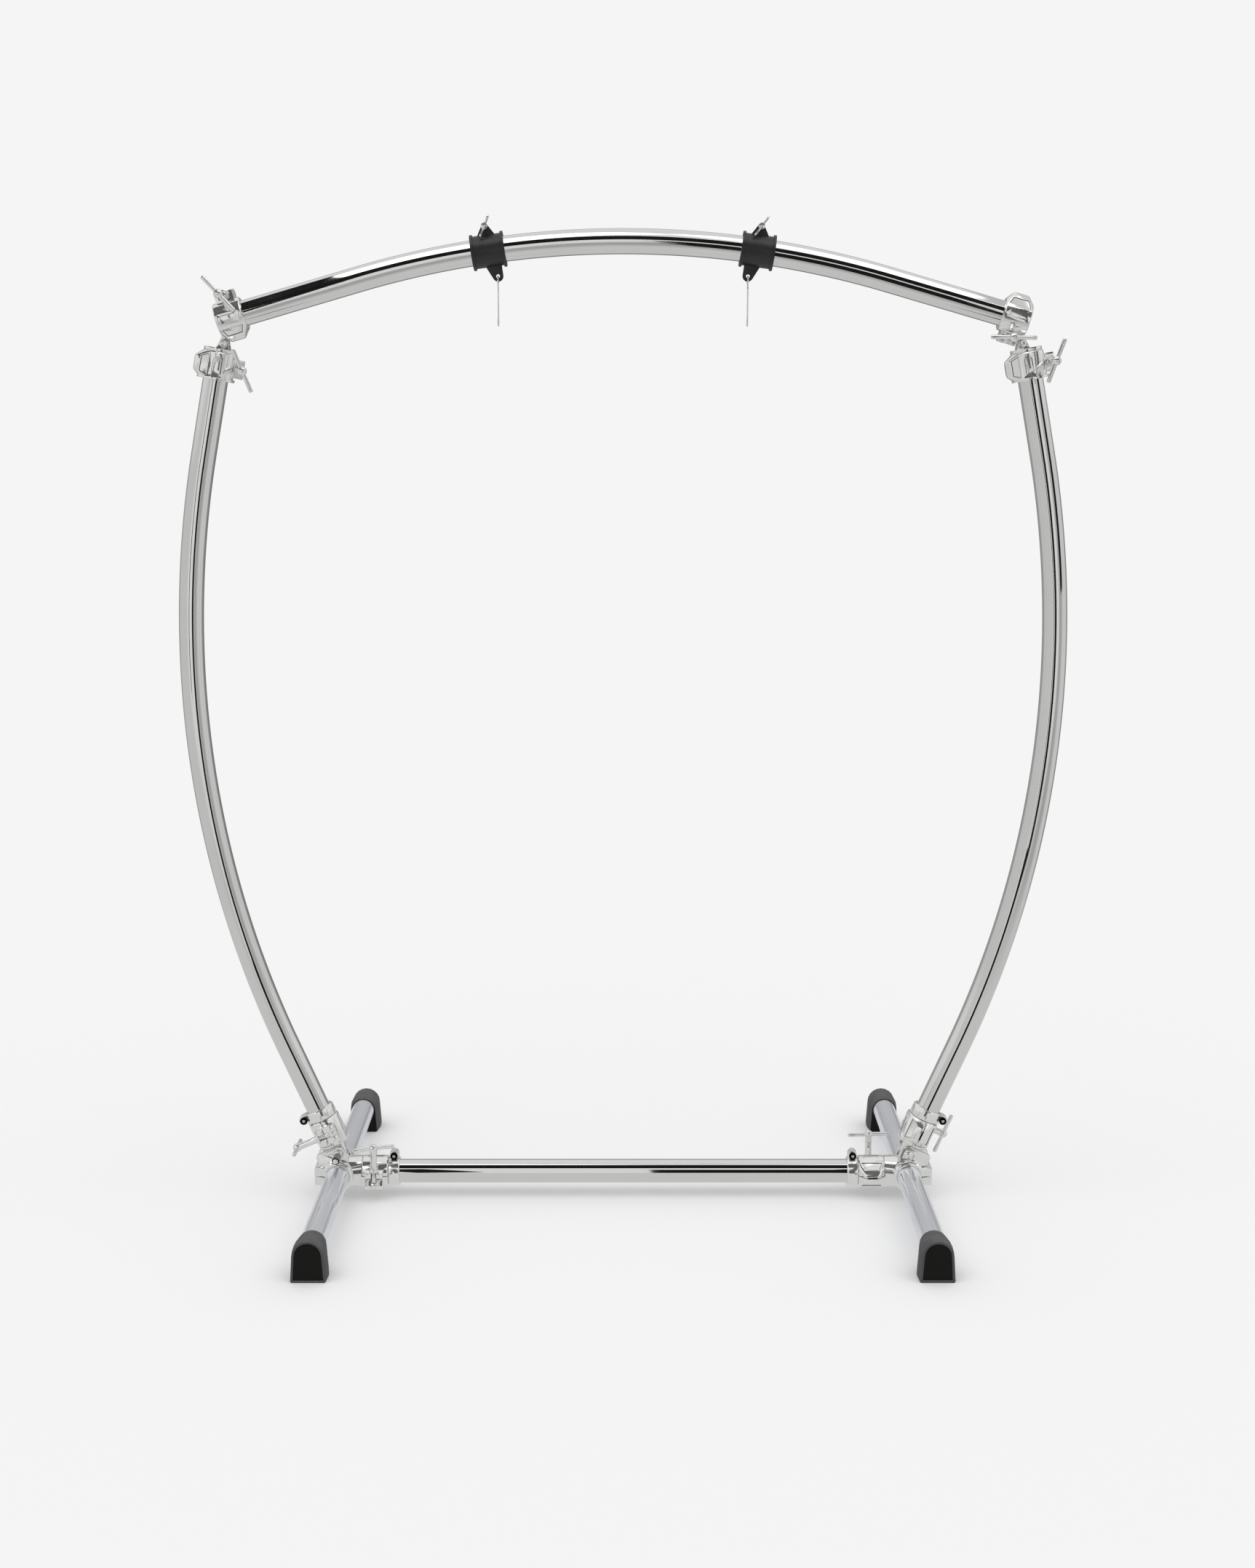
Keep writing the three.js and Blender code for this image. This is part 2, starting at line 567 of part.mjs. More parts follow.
// Bar bent to one radius with straight ends, in the XZ plane. The path is
// given by its heading (from +X) at the start and at the end of the bend.
class BentBar {
  constructor({ start, headingIn, headingOut, radius, lead, tail }) {
    Object.assign(this, { start, headingIn, headingOut, radius, lead, tail });
    this.sign = Math.sign(headingOut - headingIn);
    this.bend = Math.abs(headingOut - headingIn) * radius;
    this.total = lead + this.bend + tail;
  }

  heading(distance) {
    const swept = THREE.MathUtils.clamp(distance - this.lead, 0, this.bend);
    return this.headingIn + (this.sign * swept) / this.radius;
  }

  tangent(distance) {
    return direction(this.heading(distance));
  }

  point(distance) {
    const quarter = (this.sign * Math.PI) / 2;
    const spoke = (heading) => direction(heading).multiplyScalar(this.radius);
    const before = Math.min(distance, this.lead);
    const after = Math.max(distance - this.lead - this.bend, 0);
    return this.start.clone()
      .addScaledVector(this.tangent(0), before)
      .add(spoke(this.headingIn + quarter))
      .sub(spoke(this.heading(distance) + quarter))
      .addScaledVector(this.tangent(distance), after);
  }

  // Distances along the bar at which the solid has a ring of vertices.
  stops() {
    const ends = [this.lead, this.lead + this.bend, this.total];
    const counts = [END_STEPS, ARC_STEPS, END_STEPS];
    const list = [0];
    ends.forEach((end, index) => {
      const begin = list[list.length - 1];
      for (let step = 1; step <= counts[index]; step += 1) {
        list.push(begin + ((end - begin) * step) / counts[index]);
      }
    });
    return list;
  }

  // Hollow tube swept along the bar, open at both ends.
  tube() {
    const stops = this.stops();
    const stopAt = (share) => stops[Math.round(share * (stops.length - 1))];
    const path = new THREE.Curve();
    path.getPointAt = (share) => this.point(stopAt(share));
    path.getPoint = path.getPointAt;
    path.getTangentAt = (share) => this.tangent(stopAt(share));
    const wall = new THREE.Shape(circlePoints(TUBE_R, TUBE_FACETS));
    wall.holes.push(new THREE.Path(circlePoints(TUBE_R - TUBE_WALL, TUBE_BORE_FACETS).reverse()));
    return solid(new THREE.ExtrudeGeometry(wall, {
      steps: stops.length - 1,
      extrudePath: path,
      bevelEnabled: false,
    }));
  }
}

function straightTube(axis, length) {
  return bar(axis, TUBE_R, -length / 2, length / 2, { facets: TUBE_FACETS })
    .subtract(bar(axis, TUBE_R - TUBE_WALL, -length, length, { facets: TUBE_BORE_FACETS }));
}

// Left upright's axis, from the tilt pivot to the middle of the corner clamp.
const uprightAxis = new BentBar({
  start: new THREE.Vector3(),
  headingIn: Math.PI / 2 + UPRIGHT_LEAN_LOW,
  headingOut: Math.PI / 2 - UPRIGHT_LEAN_HIGH,
  radius: UPRIGHT_BEND_R,
  lead: UPRIGHT_LOW_STRAIGHT,
  tail: UPRIGHT_HIGH_STRAIGHT,
});
const TILT_PIVOT = new THREE.Vector3(-LEG_X, 0, LEG_HEIGHT + TILT_RISE);
const CORNER = TILT_PIVOT.clone().add(uprightAxis.point(uprightAxis.total));

// Left upright, with its origin at the tilt pivot.
function upright() {
  const inset = TILT_CLAMP_OFFSET - CLAMP_HALF;
  return new BentBar({
    ...uprightAxis,
    start: uprightAxis.point(inset),
    lead: UPRIGHT_LOW_STRAIGHT - inset,
    tail: UPRIGHT_HIGH_STRAIGHT + CLAMP_HALF - SEAT,
  }).tube();
}

// Swivel axis of the left corner, above the top of the left upright.
const SWIVEL = CORNER.clone()
  .addScaledVector(direction(Math.PI / 2 - UPRIGHT_LEAN_HIGH), SWIVEL_ABOVE)
  .addScaledVector(direction(-UPRIGHT_LEAN_HIGH), SWIVEL_IN);
// Middle of the left upper corner clamp, above the swivel and further in.
const TOP_CLAMP = SWIVEL.clone()
  .addScaledVector(direction(Math.PI / 2 + TOP_END_SLOPE), SWIVEL_DROP)
  .addScaledVector(direction(TOP_END_SLOPE), SWIVEL_OUT);

// Drop of the top bar's axis from its middle to a given x, and its height there.
const TOP_BEND_X = TOP_BEND_R * Math.sin(TOP_END_SLOPE);
function topDrop(x) {
  const bent = Math.min(Math.abs(x), TOP_BEND_X);
  const arc = TOP_BEND_R - Math.sqrt(TOP_BEND_R ** 2 - bent ** 2);
  return arc + (Math.abs(x) - bent) * Math.tan(TOP_END_SLOPE);
}
function topHeight(x) {
  return TOP_CLAMP.z + topDrop(TOP_CLAMP.x) - topDrop(x);
}

function topBar() {
  const end = -TOP_CLAMP.x + (CLAMP_HALF - SEAT) * Math.cos(TOP_END_SLOPE);
  const straight = (end - TOP_BEND_X) / Math.cos(TOP_END_SLOPE);
  return new BentBar({
    start: new THREE.Vector3(-end, 0, topHeight(end)),
    headingIn: TOP_END_SLOPE,
    headingOut: -TOP_END_SLOPE,
    radius: TOP_BEND_R,
    lead: straight,
    tail: straight,
  }).tube();
}

// Raised rim at the foot of a lower corner clamp, one half for each jaw.
function footRim([z0, z1]) {
  const rimR = CLAMP_R + RIM_OUT;
  return bar('x', rimR, -CLAMP_HALF, RIM_THICK - CLAMP_HALF, { facets: BODY_FACETS })
    .intersect(block([-CLAMP_LENGTH, CLAMP_LENGTH], [-rimR, rimR], [z0, z1]));
}

// Lower corner clamp, with X up the upright and Z to the front: fixed jaw
// behind, a round cap over the tube's end and a fork that holds the swivel.
// The clamp is turned on the upright; the fork stays square to the swivel.
function cornerLower(side) {
  const inward = side === 'left' ? 1 : -1;
  const top = CLAMP_HALF + SEAT + CAP_THICK;
  const cap = bar('x', CAP_R, CLAMP_HALF + SEAT, top, { facets: BODY_FACETS });
  const root = bar('x', CAP_R, CLAMP_HALF - CLAMP_EDGE, top, { facets: BODY_FACETS })
    .intersect(block([0, top], [-CAP_R, CAP_R], [-CAP_R, -JAW_GAP / 2]));
  const rim = footRim([-CLAMP_LENGTH, -JAW_GAP / 2]);
  const clamp = joined(fixedJaw([rim, root]), cap)
    .rotate([THREE.MathUtils.radToDeg(LOWER_TURNS[side]), 0, 0]);
  const at = [SWIVEL_ABOVE, -inward * SWIVEL_IN, 0];
  const forkHalf = SWIVEL_R + SWIVEL_BOLT_R;
  const fork = SWIVEL_FORK.map(([z0, z1]) => skin(
    bar('z', SWIVEL_R, z0, z1, { at, facets: BODY_FACETS }),
    block([top - OVERRUN, top], [at[1] - forkHalf, at[1] + forkHalf], [z0, z1]),
  ));
  const play = side === 'left' ? SLIP : SWIVEL_PLAY;
  const hole = bar('z', SWIVEL_BOLT_R + play, -CLAMP_LENGTH, CLAMP_LENGTH, { at });
  return joined(clamp, ...fork).subtract(hole);
}

// Upper corner clamp, with X out along the bar and Z to the front. The swivel
// lug is below the bar: beside the hinge on the left, beside the ears on the right.
function cornerUpper(side) {
  const down = side === 'left' ? 1 : -1;
  const slice = [-SWIVEL_LUG_FAR, -SWIVEL_LUG_NEAR];
  const at = [SWIVEL_OUT, down * SWIVEL_DROP, 0];
  const inside = [CLAMP_HALF - SWIVEL_R, down * (CLAMP_R - SWIVEL_R), 0];
  const lug = skin(
    bar('z', SWIVEL_R, ...slice, { at, facets: BODY_FACETS }),
    bar('z', SWIVEL_R, ...slice, { at: inside, facets: BODY_FACETS }),
  );
  const hole = bar('z', SWIVEL_BOLT_R + SLIP, -CLAMP_LENGTH, 0, { at });
  return fixedJaw([lug]).subtract(hole);
}

// Swivel bolt along Z, with its head in front of the fork and its nut behind.
function swivelBolt() {
  const back = SWIVEL_FORK[0][0] - SEAT;
  const face = SWIVEL_FORK[1][1] + SEAT;
  const shank = bar('z', SWIVEL_BOLT_R, back - SWIVEL_HEAD_HEIGHT, face + OVERRUN);
  const head = bar('z', SWIVEL_HEAD_R, face, face + SWIVEL_HEAD_HEIGHT, { facets: BODY_FACETS });
  const nut = bar('z', SWIVEL_HEAD_R, back - SWIVEL_HEAD_HEIGHT, back, { facets: HEX });
  return joined(shank, head, nut);
}

// Hanger collar, with the bar along X, ears up and the hook lug down at +X.
function hangerCollar() {
  const half = COLLAR_LENGTH / 2;
  const ring = bar('x', COLLAR_R, -half, half, { facets: BODY_FACETS });
  const rims = [[-half, RIM_WIDTH - half], [half - RIM_WIDTH, half]]
    .map(([x0, x1]) => bar('x', RIM_R, x0, x1, { facets: BODY_FACETS }));
  const earHalf = EAR_SLIT / 2 + EAR_THICK;
  const ears = skin(
    bar('y', EAR_TIP_R, -earHalf, earHalf, { at: [0, 0, EAR_HEIGHT - EAR_TIP_R] }),
    block([-EAR_HALF_BASE, EAR_HALF_BASE], [-earHalf, earHalf], [TUBE_R, COLLAR_R - OVERRUN]),
  );
  const lugHole = [LUG_HOLE_X, 0, -LUG_HOLE_DROP];
  const lug = skin(
    bar('y', LUG_TIP_R, -LUG_HALF_THICK, LUG_HALF_THICK, { at: lugHole, facets: BODY_FACETS }),
    block([LUG_ROOT_FAR, LUG_ROOT_NEAR], [-LUG_HALF_THICK, LUG_HALF_THICK], [OVERRUN - COLLAR_R, -TUBE_R]),
  );
  const bore = bar('x', TUBE_R + SLIDE, -COLLAR_LENGTH, COLLAR_LENGTH, { facets: BODY_FACETS });
  const slit = block([-COLLAR_LENGTH, COLLAR_LENGTH], [-EAR_SLIT / 2, EAR_SLIT / 2], [0, EAR_HEIGHT * 2]);
  const screwHole = bar('y', WING_SCREW_R + SLIP, -half, half, { at: [0, 0, WING_SCREW_HEIGHT] });
  const hookHole = bar('y', LUG_HOLE_R, -half, half, { at: lugHole });
  return joined(ring, ...rims, ears, lug)
    .subtract(bore)
    .subtract(slit)
    .subtract(screwHole)
    .subtract(hookHole);
}

// Wing screw along Z, with its origin between the ears.
function wingScrew() {
  const face = EAR_SLIT / 2 + EAR_THICK + SEAT;
  const shank = bar('z', WING_SCREW_R, -face - WING_TIP, face + OVERRUN);
  const hub = bar('z', WING_HUB_R, face, face + WING_HUB_HEIGHT);
  const boss = bar('z', WING_SCREW_R, face, face + WING_HUB_HEIGHT + WING_TIP);
  const wings = [-1, 1].map((side) => skin(
    bar('y', WING_LOBE_R, -WING_THICK / 2, WING_THICK / 2, {
      at: [side * WING_REACH, 0, face + WING_HUB_HEIGHT],
    }),
    bar('y', WING_THICK, -WING_THICK / 2, WING_THICK / 2, { at: [0, 0, face + WING_HUB_HEIGHT / 2] }),
  ));
  return joined(shank, hub, boss, ...wings);
}

// Wire hook with its origin in the lug's hole: an eye round the lug's tip, a
// stem and a J that opens to the front.
function wireHook() {
  const sideShares = [[0.95, 0.667], [1, 0.333], [0.66, 0.107]];
  const eye = [
    ...sideShares.map(([y, z]) => [y * HOOK_SPREAD, -z * HOOK_NECK]),
    [0, -HOOK_CREST],
    ...sideShares.toReversed().map(([y, z]) => [-y * HOOK_SPREAD, -z * HOOK_NECK]),
  ];
  const stem = [[0, -HOOK_NECK], [0, -(HOOK_NECK + HOOK_DROP) / 2], [0, -HOOK_DROP]];
  const turnShares = [0.25, 0.5, 0.75];
  const bowl = turnShares.map((share) => {
    const angle = Math.PI * share;
    const across = (HOOK_MOUTH / 2) * (Math.cos(angle) - 1);
    return [across, -HOOK_DROP - HOOK_BOWL * Math.sin(angle)];
  });
  const tip = [[-HOOK_MOUTH, -HOOK_DROP], [-HOOK_MOUTH, HOOK_BOWL / 2 - HOOK_DROP]];
  const points = [...eye, ...stem, ...bowl, ...tip].map(([y, z]) => new THREE.Vector3(0, y, z));
  return solid(new THREE.ExtrudeGeometry(new THREE.Shape(circlePoints(WIRE_R, WIRE_FACETS)), {
    steps: WIRE_STEPS,
    extrudePath: new THREE.CatmullRomCurve3(points, false, 'centripetal'),
    bevelEnabled: false,
  }));
}

// A named piece of the assembly.
function piece(name, material, body) {
  const mesh = new THREE.Mesh(toGeometry(body), MATERIALS[material]);
  mesh.name = name;
  return mesh;
}

// A group whose X and Z axes point along the given directions.
function frameAt(position, xAxis, zAxis) {
  const group = new THREE.Group();
  const yAxis = zAxis.clone().cross(xAxis);
  group.quaternion.setFromRotationMatrix(new THREE.Matrix4().makeBasis(xAxis, yAxis, zAxis));
  group.position.copy(position);
  return group;
}

function direction(angle) {
  return new THREE.Vector3(Math.cos(angle), 0, Math.sin(angle));
}

// Gate, swing bolt and T-nut of one clamp, in the clamp's frame.
function clampFittings(label, gateExtras = []) {
  const bolt = piece(`${label}_swing_bolt`, 'chrome', swingBolt());
  bolt.position.set(0, -EAR_OFFSET, -BOLT_EYE_DROP);
  const nut = piece(`${label}_t_nut`, 'chrome', handleNut());
  nut.position.set(0, -EAR_OFFSET, 0);
  nut.rotation.z = NUT_TURNS[label] ?? 0;
  return [piece(`${label}_gate`, 'casting', gate(gateExtras)), bolt, nut];
}

function lockWithScrew(label, x, turn) {
  const group = new THREE.Group();
  const screw = piece(`${label}_screw`, 'screw', lockScrew());
  screw.position.z = LOCK_SCREW_OFFSET;
  group.add(piece(label, 'casting', memoryLock()), screw);
  group.position.x = x;
  group.rotation.x = turn;
  return group;
}

// T foot of one side: leg, feet, casting, base clamp and everything that
// stands on its tilt pivot. The right one is the left one turned half round.
function sideAssembly(side) {
  const group = new THREE.Group();
  const leg = piece(`leg_tube_${side}`, 'chrome', straightTube('y', LEG_LENGTH - (FOOT_WALL + SEAT) * 2));
  const mouth = LEG_LENGTH / 2 - FOOT_DEPTH;
  const ends = side === 'left' ? ['rear', 'front'] : ['front', 'rear'];
  const feet = ends.map((end, index) => {
    const rubber = piece(`foot_${side}_${end}`, 'rubber', foot());
    rubber.position.y = index === 0 ? mouth : -mouth;
    rubber.rotation.z = index * Math.PI;
    return rubber;
  });
  const baseClamp = new THREE.Group();
  baseClamp.position.x = BASE_CLAMP_OFFSET;
  baseClamp.add(...clampFittings(`base_clamp_${side}`));
  const lockGap = CLAMP_HALF + SEAT + LOCK_HALF;
  const baseLock = lockWithScrew(`base_lock_${side}`, BASE_CLAMP_OFFSET + lockGap, 0);
  if (side === 'right') {
    baseLock.rotation.z = Math.PI;
  }

  const pivot = new THREE.Vector3(0, 0, TILT_RISE);
  const lean = Math.PI / 2 + UPRIGHT_LEAN_LOW;
  const tilted = frameAt(pivot, direction(lean), direction(lean + Math.PI / 2));
  const tiltFittings = new THREE.Group();
  tiltFittings.position.x = TILT_CLAMP_OFFSET;
  tiltFittings.add(...clampFittings(`tilt_clamp_${side}`));
  const uprightLock = lockWithScrew(`upright_lock_${side}`, TILT_CLAMP_OFFSET + lockGap, 0);
  if (side === 'right') {
    uprightLock.children.forEach((child) => child.rotateZ(Math.PI));
  }
  tilted.add(piece(`tilt_clamp_${side}`, 'casting', tiltClamp()), tiltFittings, uprightLock);

  const tube = piece(`upright_${side}`, 'chrome', upright());
  tube.position.copy(pivot);
  const bolt = piece(`tilt_bolt_${side}`, 'screw', tiltBolt());
  bolt.position.copy(pivot);
  const casting = piece(`t_casting_${side}`, 'casting', tCasting());
  group.add(leg, ...feet, casting, baseClamp, baseLock, tilted, tube, bolt);
  group.position.set(side === 'left' ? -LEG_X : LEG_X, 0, LEG_HEIGHT);
  group.rotation.z = side === 'left' ? 0 : Math.PI;
  return group;
}

const FRONT = new THREE.Vector3(0, -1, 0);

// Lower corner clamp of one side. Both have their ears on the right.
function lowerCorner(side) {
  const inward = side === 'left' ? 1 : -1;
  const place = new THREE.Vector3(inward * CORNER.x, 0, CORNER.z);
  const group = frameAt(place, direction(Math.PI / 2 - inward * UPRIGHT_LEAN_HIGH), FRONT);
  const fittings = new THREE.Group();
  fittings.rotation.x = LOWER_TURNS[side];
  fittings.add(...clampFittings(`corner_lower_${side}`, [footRim([JAW_GAP / 2, CLAMP_LENGTH])]));
  group.add(piece(`corner_lower_${side}`, 'casting', cornerLower(side)), fittings);
  return group;
}

// Upper corner clamp of one side and its swivel bolt. The left one has its
// ears above the bar, the right one below.
function upperCorner(side) {
  const group = new THREE.Group();
  const outward = side === 'left' ? -1 : 1;
  const place = new THREE.Vector3(-outward * TOP_CLAMP.x, 0, TOP_CLAMP.z);
  const along = new THREE.Vector3(outward * Math.cos(TOP_END_SLOPE), 0, -Math.sin(TOP_END_SLOPE));
  const clamp = frameAt(place, along, FRONT);
  clamp.add(
    piece(`corner_upper_${side}`, 'casting', cornerUpper(side)),
    ...clampFittings(`corner_upper_${side}`),
  );
  const bolt = piece(`swivel_bolt_${side}`, 'screw', swivelBolt());
  const swivel = frameAt(
    new THREE.Vector3(-outward * SWIVEL.x, 0, SWIVEL.z),
    new THREE.Vector3(1, 0, 0),
    FRONT,
  );
  swivel.add(bolt);
  group.add(clamp, swivel);
  return group;
}

// Hanger of one side: collar turned so that its lug is inward, wing screw to
// the front and a hook that hangs plumb.
function hanger(side) {
  const group = new THREE.Group();
  const slope = Math.asin(HANGER_X / TOP_BEND_R);
  const place = new THREE.Vector3(-HANGER_X, 0, topHeight(HANGER_X));
  const collar = frameAt(place, direction(slope), direction(slope + Math.PI / 2));
  const front = side === 'left' ? -1 : 1;
  const screw = frameAt(
    new THREE.Vector3(0, 0, WING_SCREW_HEIGHT),
    new THREE.Vector3(Math.cos(WING_TURN), 0, -front * Math.sin(WING_TURN)),
    new THREE.Vector3(0, front, 0),
  );
  screw.add(piece(`wing_screw_${side}`, 'chrome', wingScrew()));
  collar.add(piece(`hanger_collar_${side}`, 'nylon', hangerCollar()), screw);
  const hook = piece(`gong_hook_${side}`, 'chrome', wireHook());
  hook.position.copy(place)
    .addScaledVector(direction(slope), LUG_HOLE_X)
    .addScaledVector(direction(slope + Math.PI / 2), -LUG_HOLE_DROP);
  hook.rotation.z = side === 'left' ? 0 : Math.PI;
  group.add(collar, hook);
  group.rotation.z = side === 'left' ? 0 : Math.PI;
  return group;
}

function baseBar() {
  const reach = LEG_X - BASE_CLAMP_OFFSET + CLAMP_HALF - SEAT;
  const tube = piece('base_bar', 'chrome', straightTube('x', reach * 2));
  tube.position.z = LEG_HEIGHT;
  return tube;
}

const stand = new THREE.Group();
stand.add(baseBar(), piece('top_bar', 'chrome', topBar()));
['left', 'right'].forEach((side) => {
  stand.add(sideAssembly(side), lowerCorner(side), upperCorner(side), hanger(side));
});

export default stand;
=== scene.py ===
"""Looks of the gong stand: finer pieces and finishes round its fixed frame.

The frame gives every place. Tubes, T-nuts, bolts, screws and hooks are modelled
anew at a finer grain; castings, feet and collars are finished copies of their
solids with cast edges and recesses. Lengths are millimetres times MM.
"""

import json
import logging
import math
from collections.abc import Callable, Iterable, Sequence
from dataclasses import dataclass, field
from enum import Enum

import bpy
from mathutils import Matrix, Vector

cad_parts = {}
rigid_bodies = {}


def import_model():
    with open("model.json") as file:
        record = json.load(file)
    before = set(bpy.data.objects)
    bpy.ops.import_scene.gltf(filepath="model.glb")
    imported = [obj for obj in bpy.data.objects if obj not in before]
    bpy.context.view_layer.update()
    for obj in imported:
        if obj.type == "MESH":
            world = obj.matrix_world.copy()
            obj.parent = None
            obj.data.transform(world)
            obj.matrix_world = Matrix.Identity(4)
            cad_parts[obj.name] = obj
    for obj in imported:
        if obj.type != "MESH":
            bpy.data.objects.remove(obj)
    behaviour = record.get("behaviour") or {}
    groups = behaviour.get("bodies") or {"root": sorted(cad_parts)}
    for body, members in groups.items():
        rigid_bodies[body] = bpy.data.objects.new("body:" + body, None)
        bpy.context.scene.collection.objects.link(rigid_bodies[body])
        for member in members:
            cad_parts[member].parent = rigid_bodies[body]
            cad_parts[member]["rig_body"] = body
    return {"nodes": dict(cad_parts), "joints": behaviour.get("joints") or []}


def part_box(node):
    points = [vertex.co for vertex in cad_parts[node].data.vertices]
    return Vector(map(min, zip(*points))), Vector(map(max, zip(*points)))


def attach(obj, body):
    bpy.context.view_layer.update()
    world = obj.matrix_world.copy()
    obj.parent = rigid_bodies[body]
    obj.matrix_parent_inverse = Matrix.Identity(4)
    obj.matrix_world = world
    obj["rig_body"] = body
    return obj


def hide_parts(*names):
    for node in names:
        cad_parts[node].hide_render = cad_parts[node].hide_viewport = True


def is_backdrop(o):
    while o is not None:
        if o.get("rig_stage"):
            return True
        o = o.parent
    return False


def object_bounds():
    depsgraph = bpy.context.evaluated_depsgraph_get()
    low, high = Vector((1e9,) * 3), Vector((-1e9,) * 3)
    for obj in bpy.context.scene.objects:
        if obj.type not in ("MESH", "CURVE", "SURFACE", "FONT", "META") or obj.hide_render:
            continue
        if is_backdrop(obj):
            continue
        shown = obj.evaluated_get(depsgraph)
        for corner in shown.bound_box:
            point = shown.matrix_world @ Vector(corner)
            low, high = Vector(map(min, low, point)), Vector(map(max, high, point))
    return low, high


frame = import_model()
cad_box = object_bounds()

LOG = logging.getLogger("gong_stand")
MM = 0.001
SIDES = ("left", "right")
WELD = 0.002 * MM
FLAT = math.radians(0.6)
OVERCUT = 3.0
ON_EDGE = 0.02
SLOT_SLACK = 0.05
PARALLEL = 0.99
FACING = 0.9
STEEP = 0.6
SAME_DIRECTION = 0.03
FEATURE_REACH = 3.0
LARGE_FACE_MM2 = 100.0

# Tube stock and layout, as in the solids
TUBE_R = 19.05
TUBE_WALL = 2.0
LEG_X = 460.5
LEG_HEIGHT = 40.8
LEG_TUBE = 675.4
BASE_TUBE = 844.4
PIVOT_HEIGHT = 73.8
UPRIGHT_LEAN_LOW = math.radians(23.5)
UPRIGHT_LEAN_HIGH = math.radians(11)
UPRIGHT_BEND_R = 1600.0
UPRIGHT_LEAD = 169.0
UPRIGHT_INSET = 21.0
UPRIGHT_TAIL = 155.2
TOP_BEND_R = 1450.0
TOP_APEX = 1506.43
TOP_END_SLOPE = math.radians(16)
TOP_CLAMP_X = 590.875
TOP_END_PAST = 20.7
CLAMP_R = 25.5
EAR_OFFSET = 33.0
BOLT_EYE_DROP = 12.0
BOLT_TOP = 38.0
LOBE_OFFSET = 24.0
LOBE_R = 12.0
LOBE_HALF = 11.0
LOBE_SLOT = 1.3
KNUCKLE_HALF = 7.0
FORK_FRONT = 3.3
FORK_BACK = -18.3


class Shade(Enum):
    """Finishes of the stand, each with the material slot it belongs to."""

    TUBE = "tube_chrome"
    CASTING = "casting_chrome"
    HARDWARE = "hardware_chrome"
    SCREW = "screw_steel"
    RUBBER = "foot_rubber"
    NYLON = "collar_nylon"
    # Darker copy of the rubber on the feet's end faces: painted shade
    RUBBER_END = "foot_end_painted_shade"
    # Chrome of the legs; its bluish streaked colour is uneven polish and painted reflection
    LEG = "leg_chrome"
    BASE = "base_chrome"
    # Black on slots, thread roots, panel walls and rims and screw heads: painted shade
    RECESS = "painted_shade_black"


class Axis(Enum):
    """Axis that a body turned along +Z is laid along."""

    X = "x"
    Y = "y"

    def matrix(self) -> Matrix:
        """Rotation that lays +Z along this axis."""
        if self is Axis.X:
            return Matrix(((0, 0, 1, 0), (1, 0, 0, 0), (0, 1, 0, 0), (0, 0, 0, 1)))
        return Matrix(((0, 1, 0, 0), (0, 0, 1, 0), (1, 0, 0, 0), (0, 0, 0, 1)))


def local_frame(origin: Sequence[float], x_axis: Sequence[float],
                z_axis: Sequence[float]) -> Matrix:
    """Build the matrix of a local frame.

    Args:
        origin: Place of the frame in metres.
        x_axis: Direction of its X axis.
        z_axis: Direction of its Z axis.

    Returns:
        Matrix that carries local points to the frame of the stand.
    """
    x_dir = Vector(x_axis).normalized()
    z_dir = Vector(z_axis).normalized()
    y_dir = z_dir.cross(x_dir)
    columns = Matrix((x_dir, y_dir, z_dir)).transposed().to_4x4()
    return Matrix.Translation(Vector(origin)) @ columns


def direction(heading: float) -> Vector:
    """Direction in the plane y = 0, at an angle from +X towards +Z."""
    return Vector((math.cos(heading), 0, math.sin(heading)))


def joint(name: str) -> dict:
    """Return the joint of that name from the frame."""
    return next(entry for entry in frame["joints"] if entry["name"] == name)


# Surface effects shared by the finishes


def preset(node: bpy.types.Node, values: dict[str, object]) -> bpy.types.Node:
    """Set the default values of a node's inputs and return the node."""
    for label, value in values.items():
        node.inputs[label].default_value = value
    return node


class NodeBoard:
    """One node tree, with short calls that add nodes and join them."""

    def __init__(self, tree: bpy.types.NodeTree, clear: bool = False) -> None:
        """Take a tree, and empty it when asked."""
        self.tree = tree
        if clear:
            tree.nodes.clear()

    def node(self, kind: str, **values: object) -> bpy.types.Node:
        """Add a node and set its plain properties."""
        made = self.tree.nodes.new(kind)
        for key, value in values.items():
            setattr(made, key, value)
        return made

    def link(self, *pairs: tuple[bpy.types.NodeSocket, bpy.types.NodeSocket]) -> None:
        """Join pairs of sockets."""
        for start, end in pairs:
            self.tree.links.new(start, end)

    def smooth_step(self, source: bpy.types.NodeSocket, start: float, end: float,
                    low: float = 0.0, high: float = 1.0) -> bpy.types.NodeSocket:
        """Smooth step of a value from low to high between two bounds."""
        node = preset(self.node("ShaderNodeMapRange", interpolation_type="SMOOTHSTEP"),
                      {"From Min": start, "From Max": end, "To Min": low, "To Max": high})
        self.link((source, node.inputs["Value"]))
        return node.outputs["Result"]

    def maths(self, kind: str, *values: object) -> bpy.types.NodeSocket:
        """Math node with sockets or numbers as its inputs."""
        node = self.node("ShaderNodeMath", operation=kind)
        for socket, value in zip(node.inputs, values):
            if isinstance(value, bpy.types.NodeSocket):
                self.link((value, socket))
            else:
                socket.default_value = value
        return node.outputs["Value"]


